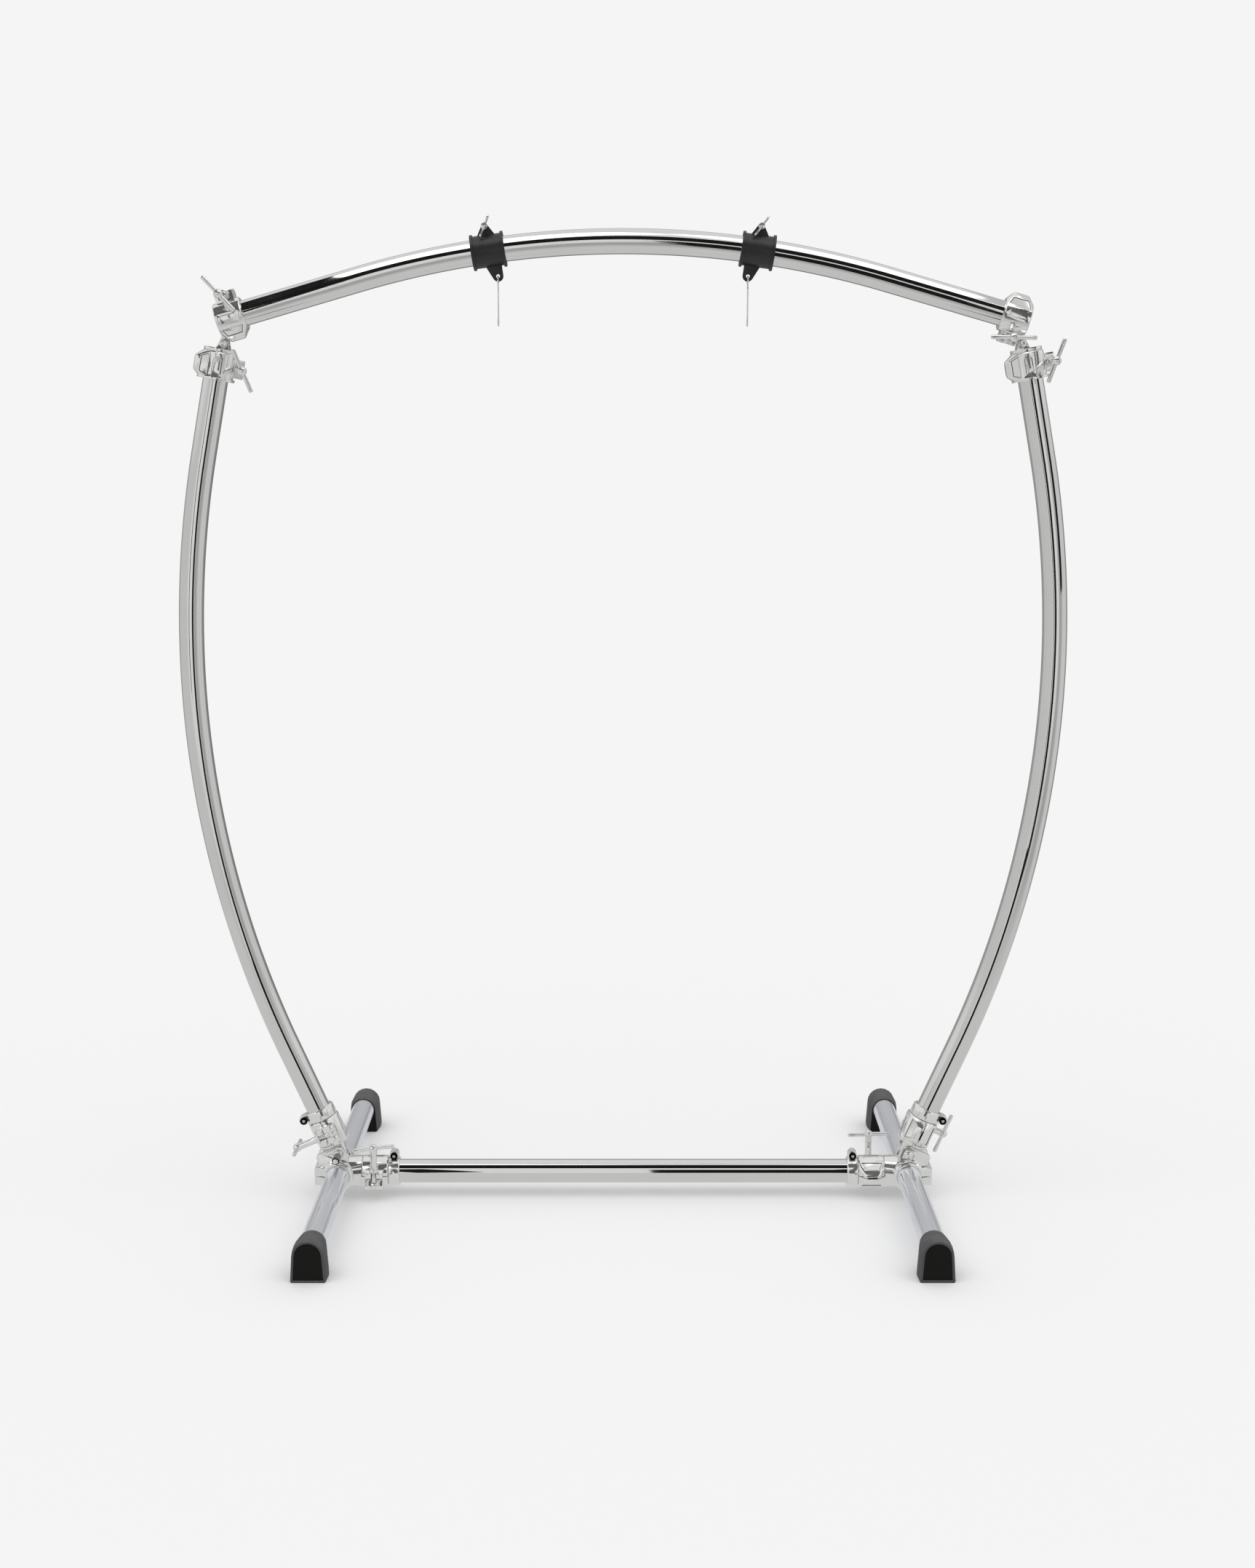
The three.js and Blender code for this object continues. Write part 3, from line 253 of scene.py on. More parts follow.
class EffectGroup(NodeBoard):
    """Shader node group with named inputs that gives colour, roughness and height."""

    def __init__(self, name: str, inputs: dict[str, object]) -> None:
        """Make the group and its sockets.

        Args:
            name: Name of the group.
            inputs: Socket name to its default: a colour, a vector or a number.
        """
        super().__init__(bpy.data.node_groups.new(name, "ShaderNodeTree"))
        kinds = {4: "NodeSocketColor", 3: "NodeSocketVector"}
        sockets = self.tree.interface
        for label, default in inputs.items():
            kind = kinds[len(default)] if isinstance(default, tuple) else "NodeSocketFloat"
            socket = sockets.new_socket(name=label, in_out="INPUT", socket_type=kind)
            socket.default_value = default
        sockets.new_socket(name="Color", in_out="OUTPUT", socket_type="NodeSocketColor")
        for label in ("Roughness", "Height"):
            sockets.new_socket(name=label, in_out="OUTPUT", socket_type="NodeSocketFloat")
        self.entry = self.node("NodeGroupInput").outputs
        self.exit = self.node("NodeGroupOutput").inputs
        self.place = self.node("ShaderNodeTexCoord").outputs["Object"]

    def remap(self, source: bpy.types.NodeSocket, span: tuple[float, float],
              low: bpy.types.NodeSocket, high: bpy.types.NodeSocket) -> bpy.types.NodeSocket:
        """Stretch a value so that span runs from one socket's value to another's.

        Args:
            source: Value to stretch.
            span: Values of the source that meet low and high.
            low: Result at the start of the span.
            high: Result at its end.

        Returns:
            Socket of the stretched value.
        """
        ranged = preset(self.node("ShaderNodeMapRange"), {"From Min": span[0], "From Max": span[1]})
        self.link((source, ranged.inputs["Value"]), (low, ranged.inputs["To Min"]),
                  (high, ranged.inputs["To Max"]))
        return ranged.outputs["Result"]

    def blend(self, share: bpy.types.NodeSocket, first: str, second: str) -> bpy.types.NodeSocket:
        """Mix two of the group's input colours by a share of the second."""
        mix = self.node("ShaderNodeMix", data_type="RGBA")
        self.link((share, mix.inputs["Factor"]), (self.entry[first], mix.inputs["A"]),
                  (self.entry[second], mix.inputs["B"]))
        return mix.outputs["Result"]

    def give(self, colour: bpy.types.NodeSocket, roughness: bpy.types.NodeSocket,
             height: bpy.types.NodeSocket) -> bpy.types.NodeTree:
        """Join the three outputs and return the group."""
        self.link((colour, self.exit["Color"]), (roughness, self.exit["Roughness"]),
                  (height, self.exit["Height"]))
        return self.tree


def polish_group() -> bpy.types.NodeTree:
    """Cloudy polish: tint, roughness and a faint peel that change over metal.

    Returns:
        The node group.
    """
    group = EffectGroup("Cloudy polish", {
        "Tint": (0.8, 0.8, 0.8, 1), "Dull Tint": (0.7, 0.7, 0.7, 1), "Cloud Scale": 30.0,
        "Stretch": (1.0, 1.0, 1.0), "Peel Scale": 300.0, "Clean": 0.05, "Cloudy": 0.2})
    entry = group.entry
    cloud = preset(group.node("ShaderNodeTexNoise"), {"Detail": 5.0, "Roughness": 0.6})
    peel = preset(group.node("ShaderNodeTexNoise"), {"Detail": 2.0})
    drawn = group.node("ShaderNodeVectorMath", operation="MULTIPLY")
    group.link(
        (group.place, drawn.inputs[0]), (entry["Stretch"], drawn.inputs[1]),
        (drawn.outputs["Vector"], cloud.inputs["Vector"]), (group.place, peel.inputs["Vector"]),
        (entry["Cloud Scale"], cloud.inputs["Scale"]), (entry["Peel Scale"], peel.inputs["Scale"]))
    rough = group.remap(cloud.outputs["Fac"], (0.35, 0.75), entry["Clean"], entry["Cloudy"])
    colour = group.blend(cloud.outputs["Fac"], "Tint", "Dull Tint")
    return group.give(colour, rough, peel.outputs["Fac"])


def speckle_group() -> bpy.types.NodeTree:
    """Moulded speckle: fine grain, with a lighter colour on upward faces that is dust and painted
    top light.

    Returns:
        The node group.
    """
    group = EffectGroup("Moulded speckle", {
        "Body": (0.03, 0.03, 0.03, 1), "Dust And Top Light": (0.12, 0.12, 0.12, 1), "Dust And Top Light Amount": 0.5,
        "Grain Scale": 900.0, "Smooth": 0.5, "Rough": 0.7})
    entry = group.entry
    grain = preset(group.node("ShaderNodeTexNoise"), {"Detail": 3.0})
    patch = preset(group.node("ShaderNodeTexNoise"), {"Scale": 60.0, "Detail": 4.0})
    surface = group.node("ShaderNodeNewGeometry")
    split = group.node("ShaderNodeSeparateXYZ")
    upward = preset(group.node("ShaderNodeMapRange"), {"From Min": -0.2, "From Max": 1.0})
    group.link(
        (group.place, grain.inputs["Vector"]), (group.place, patch.inputs["Vector"]),
        (entry["Grain Scale"], grain.inputs["Scale"]),
        (surface.outputs["Normal"], split.inputs["Vector"]),
        (split.outputs["Z"], upward.inputs["Value"]))
    # Dust and painted top light: a lighter colour on upward faces, broken up by noise
    dust_and_top_light_mask = group.maths("MULTIPLY", upward.outputs["Result"], patch.outputs["Fac"])
    amount = group.maths("MULTIPLY", dust_and_top_light_mask, entry["Dust And Top Light Amount"])
    rough = group.remap(grain.outputs["Fac"], (0.3, 0.7), entry["Smooth"], entry["Rough"])
    return group.give(group.blend(amount, "Body", "Dust And Top Light"), rough, grain.outputs["Fac"])


@dataclass(frozen=True)
class Finish:
    """Base of the finishes: a shader fed by one effect group."""

    label: str
    bump_mm: float

    def settings(self) -> dict[str, object]:
        """Values of the effect group's inputs."""
        raise NotImplementedError

    def shader_values(self) -> dict[str, object]:
        """Values set on the shader's own sockets."""
        raise NotImplementedError

    def material(self, group: bpy.types.NodeTree) -> bpy.types.Material:
        """Make the material.

        Args:
            group: Effect group that gives colour, roughness and height.

        Returns:
            The finished material.
        """
        made = bpy.data.materials.new(self.label)
        made.use_nodes = True
        board = NodeBoard(made.node_tree)
        shader = preset(made.node_tree.nodes["Principled BSDF"], self.shader_values())
        effect = preset(board.node("ShaderNodeGroup", node_tree=group), self.settings())
        bump = preset(board.node("ShaderNodeBump"),
                      {"Strength": 1.0, "Distance": self.bump_mm * MM})
        board.link((effect.outputs["Color"], shader.inputs["Base Color"]),
                   (effect.outputs["Roughness"], shader.inputs["Roughness"]),
                   (effect.outputs["Height"], bump.inputs["Height"]),
                   (bump.outputs["Normal"], shader.inputs["Normal"]))
        return made


@dataclass(frozen=True)
class PolishedMetal(Finish):
    """Chromed or bare metal with a cloudy polish."""

    tint: tuple[float, float, float] = (0.86, 0.86, 0.85)
    dull_tint: tuple[float, float, float] = (0.78, 0.78, 0.77)
    cloud_scale: float = 25.0
    peel_scale: float = 400.0
    clean: float = 0.04
    cloudy: float = 0.12
    metallic: float = 1.0
    stretch: tuple[float, float, float] = (1.0, 1.0, 1.0)

    def settings(self) -> dict[str, object]:
        """Values of the effect group's inputs."""
        return {
            "Tint": (*self.tint, 1),
            "Dull Tint": (*self.dull_tint, 1),
            "Cloud Scale": self.cloud_scale,
            "Stretch": self.stretch,
            "Peel Scale": self.peel_scale,
            "Clean": self.clean,
            "Cloudy": self.cloudy,
        }

    def shader_values(self) -> dict[str, object]:
        """Values set on the shader's own sockets."""
        return {"Metallic": self.metallic}


@dataclass(frozen=True)
class Moulding(Finish):
    """Moulded rubber or nylon with fine grain, and dust and painted top light on upward faces."""

    body: tuple[float, float, float] = (0.02, 0.02, 0.02)
    dust_and_top_light: tuple[float, float, float] = (0.12, 0.12, 0.12)
    dust_and_top_light_amount: float = 0.5
    grain_scale: float = 900.0
    smooth: float = 0.5
    rough: float = 0.75
    specular: float = 0.5

    def settings(self) -> dict[str, object]:
        """Values of the effect group's inputs."""
        return {
            "Body": (*self.body, 1),
            "Dust And Top Light": (*self.dust_and_top_light, 1),
            "Dust And Top Light Amount": self.dust_and_top_light_amount,
            "Grain Scale": self.grain_scale,
            "Smooth": self.smooth,
            "Rough": self.rough,
        }

    def shader_values(self) -> dict[str, object]:
        """Values set on the shader's own sockets."""
        return {"Specular IOR Level": self.specular}


class Paintbox:
    """All materials of the stand, one for each shade."""

    def __init__(self) -> None:
        """Make the effect groups and the materials."""
        polish, speckle = polish_group(), speckle_group()
        metal = {
            Shade.TUBE: PolishedMetal("Chromed tube", 0.003, cloud_scale=14.0, peel_scale=260.0,
                                      clean=0.03, cloudy=0.10),
            Shade.BASE: PolishedMetal("Base tube", 0.001, cloud_scale=9.0, peel_scale=200.0,
                                      clean=0.02, cloudy=0.045),
            # Legs: the bluish tone with streaks stretched along the tube is uneven polish and
            # painted reflection
            Shade.LEG: PolishedMetal("Leg tube", 0.01, tint=(1.0, 1.0, 1.0),
                                     dull_tint=(0.72, 0.75, 0.84), cloud_scale=75.0,
                                     peel_scale=90.0, clean=0.1, cloudy=0.3, metallic=0.8,
                                     stretch=(1.0, 0.1, 1.0)),
            Shade.CASTING: PolishedMetal("Chromed casting", 0.02, tint=(0.95, 0.95, 0.93),
                                         dull_tint=(0.86, 0.86, 0.84), cloud_scale=60.0,
                                         peel_scale=220.0, clean=0.07, cloudy=0.22, metallic=0.88),
            Shade.HARDWARE: PolishedMetal("Chromed bolt", 0.01, tint=(0.92, 0.92, 0.91),
                                          dull_tint=(0.8, 0.8, 0.79), cloud_scale=120.0,
                                          peel_scale=700.0, clean=0.08, cloudy=0.2, metallic=0.8),
            Shade.SCREW: PolishedMetal("Plated screw", 0.01, tint=(0.62, 0.62, 0.6),
                                       dull_tint=(0.45, 0.45, 0.44), cloud_scale=200.0,
                                       peel_scale=900.0, clean=0.15, cloudy=0.3),
        }
        # The mouldings' dust colours also paint top light on upward faces
        moulded = {
            Shade.RUBBER: Moulding("Foot rubber", 0.06, body=(0.06, 0.057, 0.058),
                                   dust_and_top_light=(0.2, 0.195, 0.195), dust_and_top_light_amount=0.7, grain_scale=700.0,
                                   smooth=0.6, rough=0.8, specular=0.35),
            # Darker copy of the rubber: painted shade on the feet's end faces
            Shade.RUBBER_END: Moulding("Foot end painted shade", 0.02, body=(0.008, 0.0075, 0.007),
                                       dust_and_top_light=(0.02, 0.018, 0.017), dust_and_top_light_amount=0.5,
                                       grain_scale=400.0, smooth=0.55, rough=0.7, specular=0.1),
            Shade.NYLON: Moulding("Collar nylon", 0.02, body=(0.014, 0.0135, 0.016),
                                  dust_and_top_light=(0.05, 0.05, 0.055), dust_and_top_light_amount=0.3, grain_scale=500.0,
                                  smooth=0.32, rough=0.5, specular=0.5),
            # Black painted shade for slots, thread roots, panel walls and rims and screw heads
            Shade.RECESS: Moulding("Black painted shade", 0.01, body=(0.004, 0.004, 0.004),
                                   dust_and_top_light=(0.01, 0.01, 0.01), dust_and_top_light_amount=0.2, grain_scale=500.0,
                                   smooth=0.6, rough=0.8, specular=0.06),
        }
        self.materials = {shade: finish.material(group)
                          for finishes, group in ((metal, polish), (moulded, speckle))
                          for shade, finish in finishes.items()}

    def dress(self, piece: bpy.types.Object, *shades: Shade) -> None:
        """Give a piece its material slots, in order."""
        piece.data.materials.clear()
        for shade in shades:
            piece.data.materials.append(self.materials[shade])


# Modelling steps


def start_fresh() -> None:
    """Leave edit mode and deselect everything."""
    if bpy.context.object is not None and bpy.context.object.mode != "OBJECT":
        bpy.ops.object.mode_set(mode="OBJECT")
    bpy.ops.object.select_all(action="DESELECT")


def activate(piece: bpy.types.Object) -> None:
    """Make one piece the active and only selected object."""
    start_fresh()
    bpy.context.view_layer.objects.active = piece
    piece.select_set(True)


def edit(piece: bpy.types.Object, everything: bool = False, mode: str = "EDGE") -> None:
    """Open one piece in edit mode with everything or nothing of it selected."""
    activate(piece)
    bpy.ops.object.mode_set(mode="EDIT")
    bpy.ops.mesh.select_mode(type=mode)
    bpy.ops.mesh.select_all(action="SELECT" if everything else "DESELECT")


def done() -> bpy.types.Object:
    """Leave edit mode and return the piece."""
    bpy.ops.object.mode_set(mode="OBJECT")
    return bpy.context.object


def pick_edges(piece: bpy.types.Object, wanted: Callable[[bpy.types.MeshEdge], bool]) -> None:
    """Open a piece in edit mode with only the edges selected that meet a test."""
    edit(piece)
    done()
    for edge in piece.data.edges:
        edge.select = wanted(edge)
    bpy.ops.object.mode_set(mode="EDIT")


def pick_faces(piece: bpy.types.Object, wanted: Callable[[bpy.types.MeshPolygon], bool]) -> None:
    """Open a piece in edit mode with only the faces selected that meet a test."""
    edit(piece, mode="FACE")
    done()
    for polygon in piece.data.polygons:
        polygon.select = wanted(polygon)
    bpy.ops.object.mode_set(mode="EDIT")


def reach(polygon: bpy.types.MeshPolygon) -> float:
    """Distance of a face's middle from the Z axis, in millimetres."""
    return math.hypot(polygon.center.x, polygon.center.y) / MM


def apply_modifier(piece: bpy.types.Object, kind: str, **values: object) -> None:
    """Add a modifier with these values and apply it."""
    activate(piece)
    modifier = piece.modifiers.new(kind.title(), kind)
    for key, value in values.items():
        setattr(modifier, key, value)
    bpy.ops.object.modifier_apply(modifier=modifier.name)


def smooth(piece: bpy.types.Object, degrees: float = 40.0) -> None:
    """Shade smooth except over edges sharper than the angle."""
    activate(piece)
    bpy.ops.object.shade_smooth_by_angle(angle=math.radians(degrees))


def round_edges(piece: bpy.types.Object, width: float, segments: int = 2,
                degrees: float = 42.0) -> None:
    """Round the edges that are sharper than the angle, width in millimetres."""
    apply_modifier(piece, "BEVEL", width=width * MM, segments=segments, limit_method="ANGLE",
                   angle_limit=math.radians(degrees), use_clamp_overlap=True,
                   miter_outer="MITER_ARC")


def face_outward(piece: bpy.types.Object) -> None:
    """Merge doubles and turn all faces outward."""
    edit(piece, everything=True)
    bpy.ops.mesh.remove_doubles(threshold=WELD)
    bpy.ops.mesh.normals_make_consistent(inside=False)
    done()


def carve(piece: bpy.types.Object, cutter: bpy.types.Object, operation: str = "DIFFERENCE") -> None:
    """Cut a piece with another, or weld them, and remove the other."""
    apply_modifier(piece, "BOOLEAN", operation=operation, solver="MANIFOLD", object=cutter)
    bpy.data.objects.remove(cutter)


def placed(name: str, data: bpy.types.ID) -> bpy.types.Object:
    """Make an object of some data and link it to the scene."""
    made = bpy.data.objects.new(name, data)
    bpy.context.scene.collection.objects.link(made)
    return made


def ring(name: str, sides: int, radius: float) -> bpy.types.Object:
    """Start a piece as one ring of edges round the Z axis, radius in millimetres."""
    start_fresh()
    bpy.ops.mesh.primitive_circle_add(vertices=sides, radius=radius * MM, fill_type="NOTHING")
    piece = bpy.context.object
    piece.name = name
    return piece


def turned(name: str, profile: Sequence[tuple[float, float]], sides: int = 32,
           closed: bool = False) -> bpy.types.Object:
    """Turn a body along +Z by extruding and scaling one ring of edges.

    Args:
        name: Name of the piece.
        profile: Radius and height of each ring, in millimetres.
        sides: Facets round the body.
        closed: Join the last ring to the first instead of capping both.

    Returns:
        The closed body, with its faces outward.
    """
    radius, height = profile[0]
    piece = lay(ring(name, sides, radius), moved(z=height))
    edit(piece, everything=True)
    for new_radius, new_height in profile[1:]:
        bpy.ops.mesh.extrude_region_move(
            TRANSFORM_OT_translate={"value": (0, 0, (new_height - height) * MM)})
        scale = new_radius / radius
        bpy.ops.transform.resize(value=(scale, scale, 1), center_override=(0, 0, new_height * MM))
        radius, height = new_radius, new_height
    bpy.ops.mesh.select_all(action="DESELECT")
    bpy.ops.mesh.select_non_manifold()
    if closed:
        bpy.ops.mesh.bridge_edge_loops()
    else:
        bpy.ops.mesh.fill_holes(sides=0)
    done()
    face_outward(piece)
    return piece


def lay(piece: bpy.types.Object, matrix: Matrix) -> bpy.types.Object:
    """Move a piece's mesh by a matrix; the object stays at the origin."""
    piece.data.transform(matrix)
    piece.data.update()
    return piece


def moved(x: float = 0.0, y: float = 0.0, z: float = 0.0) -> Matrix:
    """Translation in millimetres."""
    return Matrix.Translation((x * MM, y * MM, z * MM))


def thread(radius: float, start: float, end: float, pitch: float,
           depth: float) -> list[tuple[float, float]]:
    """Rings of a fine thread between two heights.

    Args:
        radius: Crest radius.
        start: Height where the thread begins.
        end: Height where it ends.
        pitch: Distance between crests.
        depth: Depth of the roots.

    Returns:
        Profile points from start to end.
    """
    count = int(abs(end - start) / pitch)
    step = (end - start) / count
    points: list[tuple[float, float]] = []
    for index in range(count):
        base = start + index * step
        points.append((radius, base + 0.15 * step))
        points.append((radius - depth, base + 0.6 * step))
    return points


def copied(node: str, name: str) -> bpy.types.Object:
    """Copy a solid of the frame as a welded mesh of its own.

    Args:
        node: Name of the solid.
        name: Name of the copy.

    Returns:
        The copy, with no parent, its flat regions made single faces.
    """
    source = frame["nodes"][node]
    piece = placed(name, source.data.copy())
    edit(piece, everything=True)
    bpy.ops.mesh.remove_doubles(threshold=WELD)
    bpy.ops.mesh.customdata_custom_splitnormals_clear()
    bpy.ops.mesh.dissolve_limited(angle_limit=FLAT)
    done()
    return piece


def curved_slab(radius: float, depth: float, half_length: float, middle: float, half_angle: float,
                corner: float) -> bpy.types.Object:
    """Cutter that follows a drum along X: a rectangle spun about the axis.

    Args:
        radius: Radius of the drum.
        depth: Depth of the recess below it.
        half_length: Half of the recess along X.
        middle: Angle of the recess's middle from +Y towards +Z, in degrees.
        half_angle: Half of the recess round the drum, in degrees.
        corner: Radius of the recess's corners.

    Returns:
        The cutter in the drum's local frame.
    """
    start_fresh()
    low, tall = radius - depth, depth + OVERCUT
    bpy.ops.mesh.primitive_plane_add(size=1.0, location=(0, 0, 0))
    cutter = bpy.context.object
    edit(cutter, everything=True)
    bpy.ops.transform.resize(value=(half_length * 2 * MM, tall * MM, 1), center_override=(0, 0, 0))
    bpy.ops.transform.translate(value=(0, (low + tall / 2) * MM, 0))
    done()
    lay(cutter, Matrix.Rotation(math.radians(middle + half_angle), 4, "X"))
    edit(cutter, everything=True)
    bpy.ops.mesh.spin(steps=max(4, int(half_angle / 3)), angle=math.radians(half_angle * 2),
                      center=(0, 0, 0), axis=(1, 0, 0))
    done()
    face_outward(cutter)
    middle_angle = math.radians(middle)
    radial = Vector((0, math.cos(middle_angle), math.sin(middle_angle)))
    off_middle = math.cos(math.radians(half_angle * 0.95))

    def is_corner(edge: bpy.types.MeshEdge) -> bool:
        """Tell whether an edge runs radially at an end of the recess."""
        ends = [cutter.data.vertices[index].co for index in edge.vertices]
        along = (ends[1] - ends[0]).normalized()
        spoke = Vector((0, ends[0].y, ends[0].z)).normalized()
        return abs(along.dot(spoke)) > PARALLEL and abs(spoke.dot(radial)) < off_middle

    pick_edges(cutter, is_corner)
    bpy.ops.mesh.bevel(offset=corner * MM, segments=4, affect="EDGES")
    done()
    return cutter


def clamp_place(label: str) -> Matrix:
    """Work out the local frame of a clamp from its two joints.

    Args:
        label: Name of the clamp.

    Returns:
        Frame at its middle: tube along X, slit at z = 0, T-nut along +Z.
    """
    nut, swing = joint(f"{label}_nut_spin"), joint(f"{label}_bolt_swing")
    z_axis, x_axis = Vector(nut["axis"]), Vector(swing["axis"])
    origin = Vector(nut["pos_m"]) + z_axis.cross(x_axis) * EAR_OFFSET * MM
    return local_frame(origin, x_axis, z_axis)


# Sub-assemblies


@dataclass
class Assembly:
    """Base of the sub-assemblies: keeps the paintbox and reports its pieces."""

    paints: Paintbox

    def two_tone(self, piece: bpy.types.Object, main: Shade, other: Shade,
                 wanted: Callable[[bpy.types.MeshPolygon], bool]) -> None:
        """Dress a piece in one shade, and the faces that meet a test in another."""
        self.paints.dress(piece, main, other)
        for polygon in piece.data.polygons:
            polygon.material_index = int(wanted(polygon))

    def show(self, piece: bpy.types.Object, node: str, body: str, slot: Shade,
             *shades: Shade) -> None:
        """Dress a piece, let it stand for a solid and ride on its body.

        Args:
            piece: The finished piece.
            node: Solid that it stands for.
            body: Body that it moves with.
            slot: Shade whose material slot it belongs to.
            shades: Materials of its slots; the slot's own when none is given.
        """
        wanted = shades or (slot,)
        if list(piece.data.materials) != [self.paints.materials[shade] for shade in wanted]:
            self.paints.dress(piece, *wanted)
        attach(piece, body)
        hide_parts(node)
        LOG.info("%s on %s, %d faces", piece.name, body, len(piece.data.polygons))

    def finish_copy(self, node: str, suffix: str, shade: Shade, width: float,
                    segments: int = 2, degrees: float = 40.0) -> None:
        """Show a copy of a solid with its edges rounded.

        Args:
            node: Solid that it stands for.
            suffix: Last word of the copy's name.
            shade: Its finish.
            width: Width of the rounding in millimetres.
            segments: Steps of the rounding.
            degrees: Angle up to which edges are shaded smooth.
        """
        piece = copied(node, f"{node}_{suffix}")
        round_edges(piece, width, segments)
        smooth(piece, degrees)
        self.show(piece, node, self.body_of(node), shade)

    def body_of(self, node: str) -> str:
        """Name of the body that a solid rides on."""
        return frame["nodes"][node]["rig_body"]


@dataclass
class TubeFrame(Assembly):
    """The seven tubes: two legs, base bar, two uprights and the top bar."""

    sides: int = 64
    bend_steps: int = 60
    rim: float = 0.45
    collar: float = 5.0

    def run(self, way: Vector, length: float, first: bool = False, last: bool = False) -> None:
        """Extrude a straight run, with a short ring by each open end.

        Args:
            way: Direction of the run.
            length: Its length in millimetres.
            first: The run begins at an open end.
            last: The run stops at an open end.
        """
        middle = length - self.collar * (first + last)
        for step in [self.collar] * first + [middle] + [self.collar] * last:
            bpy.ops.mesh.extrude_region_move(TRANSFORM_OT_translate={"value": way * step * MM})

    def hollow(self, piece: bpy.types.Object) -> None:
        """Give a swept skin its wall and soft rims."""
        face_outward(piece)
        apply_modifier(piece, "SOLIDIFY", thickness=TUBE_WALL * MM, offset=-1.0,
                       use_even_offset=True)
        round_edges(piece, self.rim, 3, 60.0)
        smooth(piece, 40.0)

    def straight(self, name: str, axis: Axis, length: float, at: Matrix) -> bpy.types.Object:
        """Straight tube, centred on its place.

        Args:
            name: Name of the piece.
            axis: Axis that it lies along.
            length: Length in millimetres.
            at: Place of its middle.

        Returns:
            The tube.
        """
        piece = ring(name, self.sides, TUBE_R)
        edit(piece, everything=True)
        bpy.ops.transform.translate(value=(0, 0, -length / 2 * MM))
        self.run(Vector((0, 0, 1)), length, first=True, last=True)
        done()
        lay(piece, at @ axis.matrix())
        self.hollow(piece)
        return piece

    def bent(self, name: str, start: Vector, heading: float, turn: float, radius: float,
             lead: float, tail: float) -> bpy.types.Object:
        """Tube bent to one radius in the plane y = 0, with straight ends.

        Args:
            name: Name of the piece.
            start: Middle of its first end, in metres.
            heading: Angle of its first straight from +X towards +Z.
            turn: Signed angle of the bend, from +X towards +Z.
            radius: Bend radius in millimetres.
            lead: First straight in millimetres.
            tail: Last straight in millimetres.

        Returns:
            The tube.
        """
        piece = ring(name, self.sides, TUBE_R)
        first, last = direction(heading), direction(heading + turn)
        lay(piece, local_frame(start, (0, 1, 0), first))
        spoke = Vector((-first.z, 0, first.x)) * math.copysign(1.0, turn)
        centre = start + first * lead * MM + spoke * radius * MM
        edit(piece, everything=True)
        self.run(first, lead, first=True)
        bpy.ops.mesh.spin(steps=self.bend_steps, angle=turn, center=centre, axis=(0, 1, 0))
        self.run(last, tail, last=True)
        done()
        self.hollow(piece)
        return piece

    def build(self) -> None:
        """Model all seven tubes."""
        base = self.straight("base_bar_tube", Axis.X, BASE_TUBE, moved(z=LEG_HEIGHT))
        self.show(base, "base_bar", "base", Shade.TUBE, Shade.BASE)
        for side, sign in zip(SIDES, (-1, 1)):
            leg = self.straight(f"leg_{side}_tube", Axis.Y, LEG_TUBE,
                                moved(sign * LEG_X, 0, LEG_HEIGHT))
            self.show(leg, f"leg_tube_{side}", "base", Shade.TUBE, Shade.LEG)
            heading = math.pi / 2 - sign * UPRIGHT_LEAN_LOW
            pivot = Vector((sign * LEG_X, 0, PIVOT_HEIGHT)) * MM
            start = pivot + direction(heading) * UPRIGHT_INSET * MM
            turn = sign * (UPRIGHT_LEAN_LOW + UPRIGHT_LEAN_HIGH)
            upright = self.bent(f"upright_{side}_tube", start, heading, turn, UPRIGHT_BEND_R,
                                UPRIGHT_LEAD, UPRIGHT_TAIL)
            self.show(upright, f"upright_{side}", f"post_{side}", Shade.TUBE)
        bend_x = TOP_BEND_R * math.sin(TOP_END_SLOPE)
        end_x = TOP_CLAMP_X + TOP_END_PAST * math.cos(TOP_END_SLOPE)
        straight = (end_x - bend_x) / math.cos(TOP_END_SLOPE)
        sagitta = TOP_BEND_R * (1 - math.cos(TOP_END_SLOPE))
        end_z = TOP_APEX - sagitta - straight * math.sin(TOP_END_SLOPE)
        top = self.bent("top_bar_tube", Vector((-end_x, 0, end_z)) * MM, TOP_END_SLOPE,
                        -2 * TOP_END_SLOPE, TOP_BEND_R, straight, straight)
        self.show(top, "top_bar", "top_bar", Shade.TUBE)


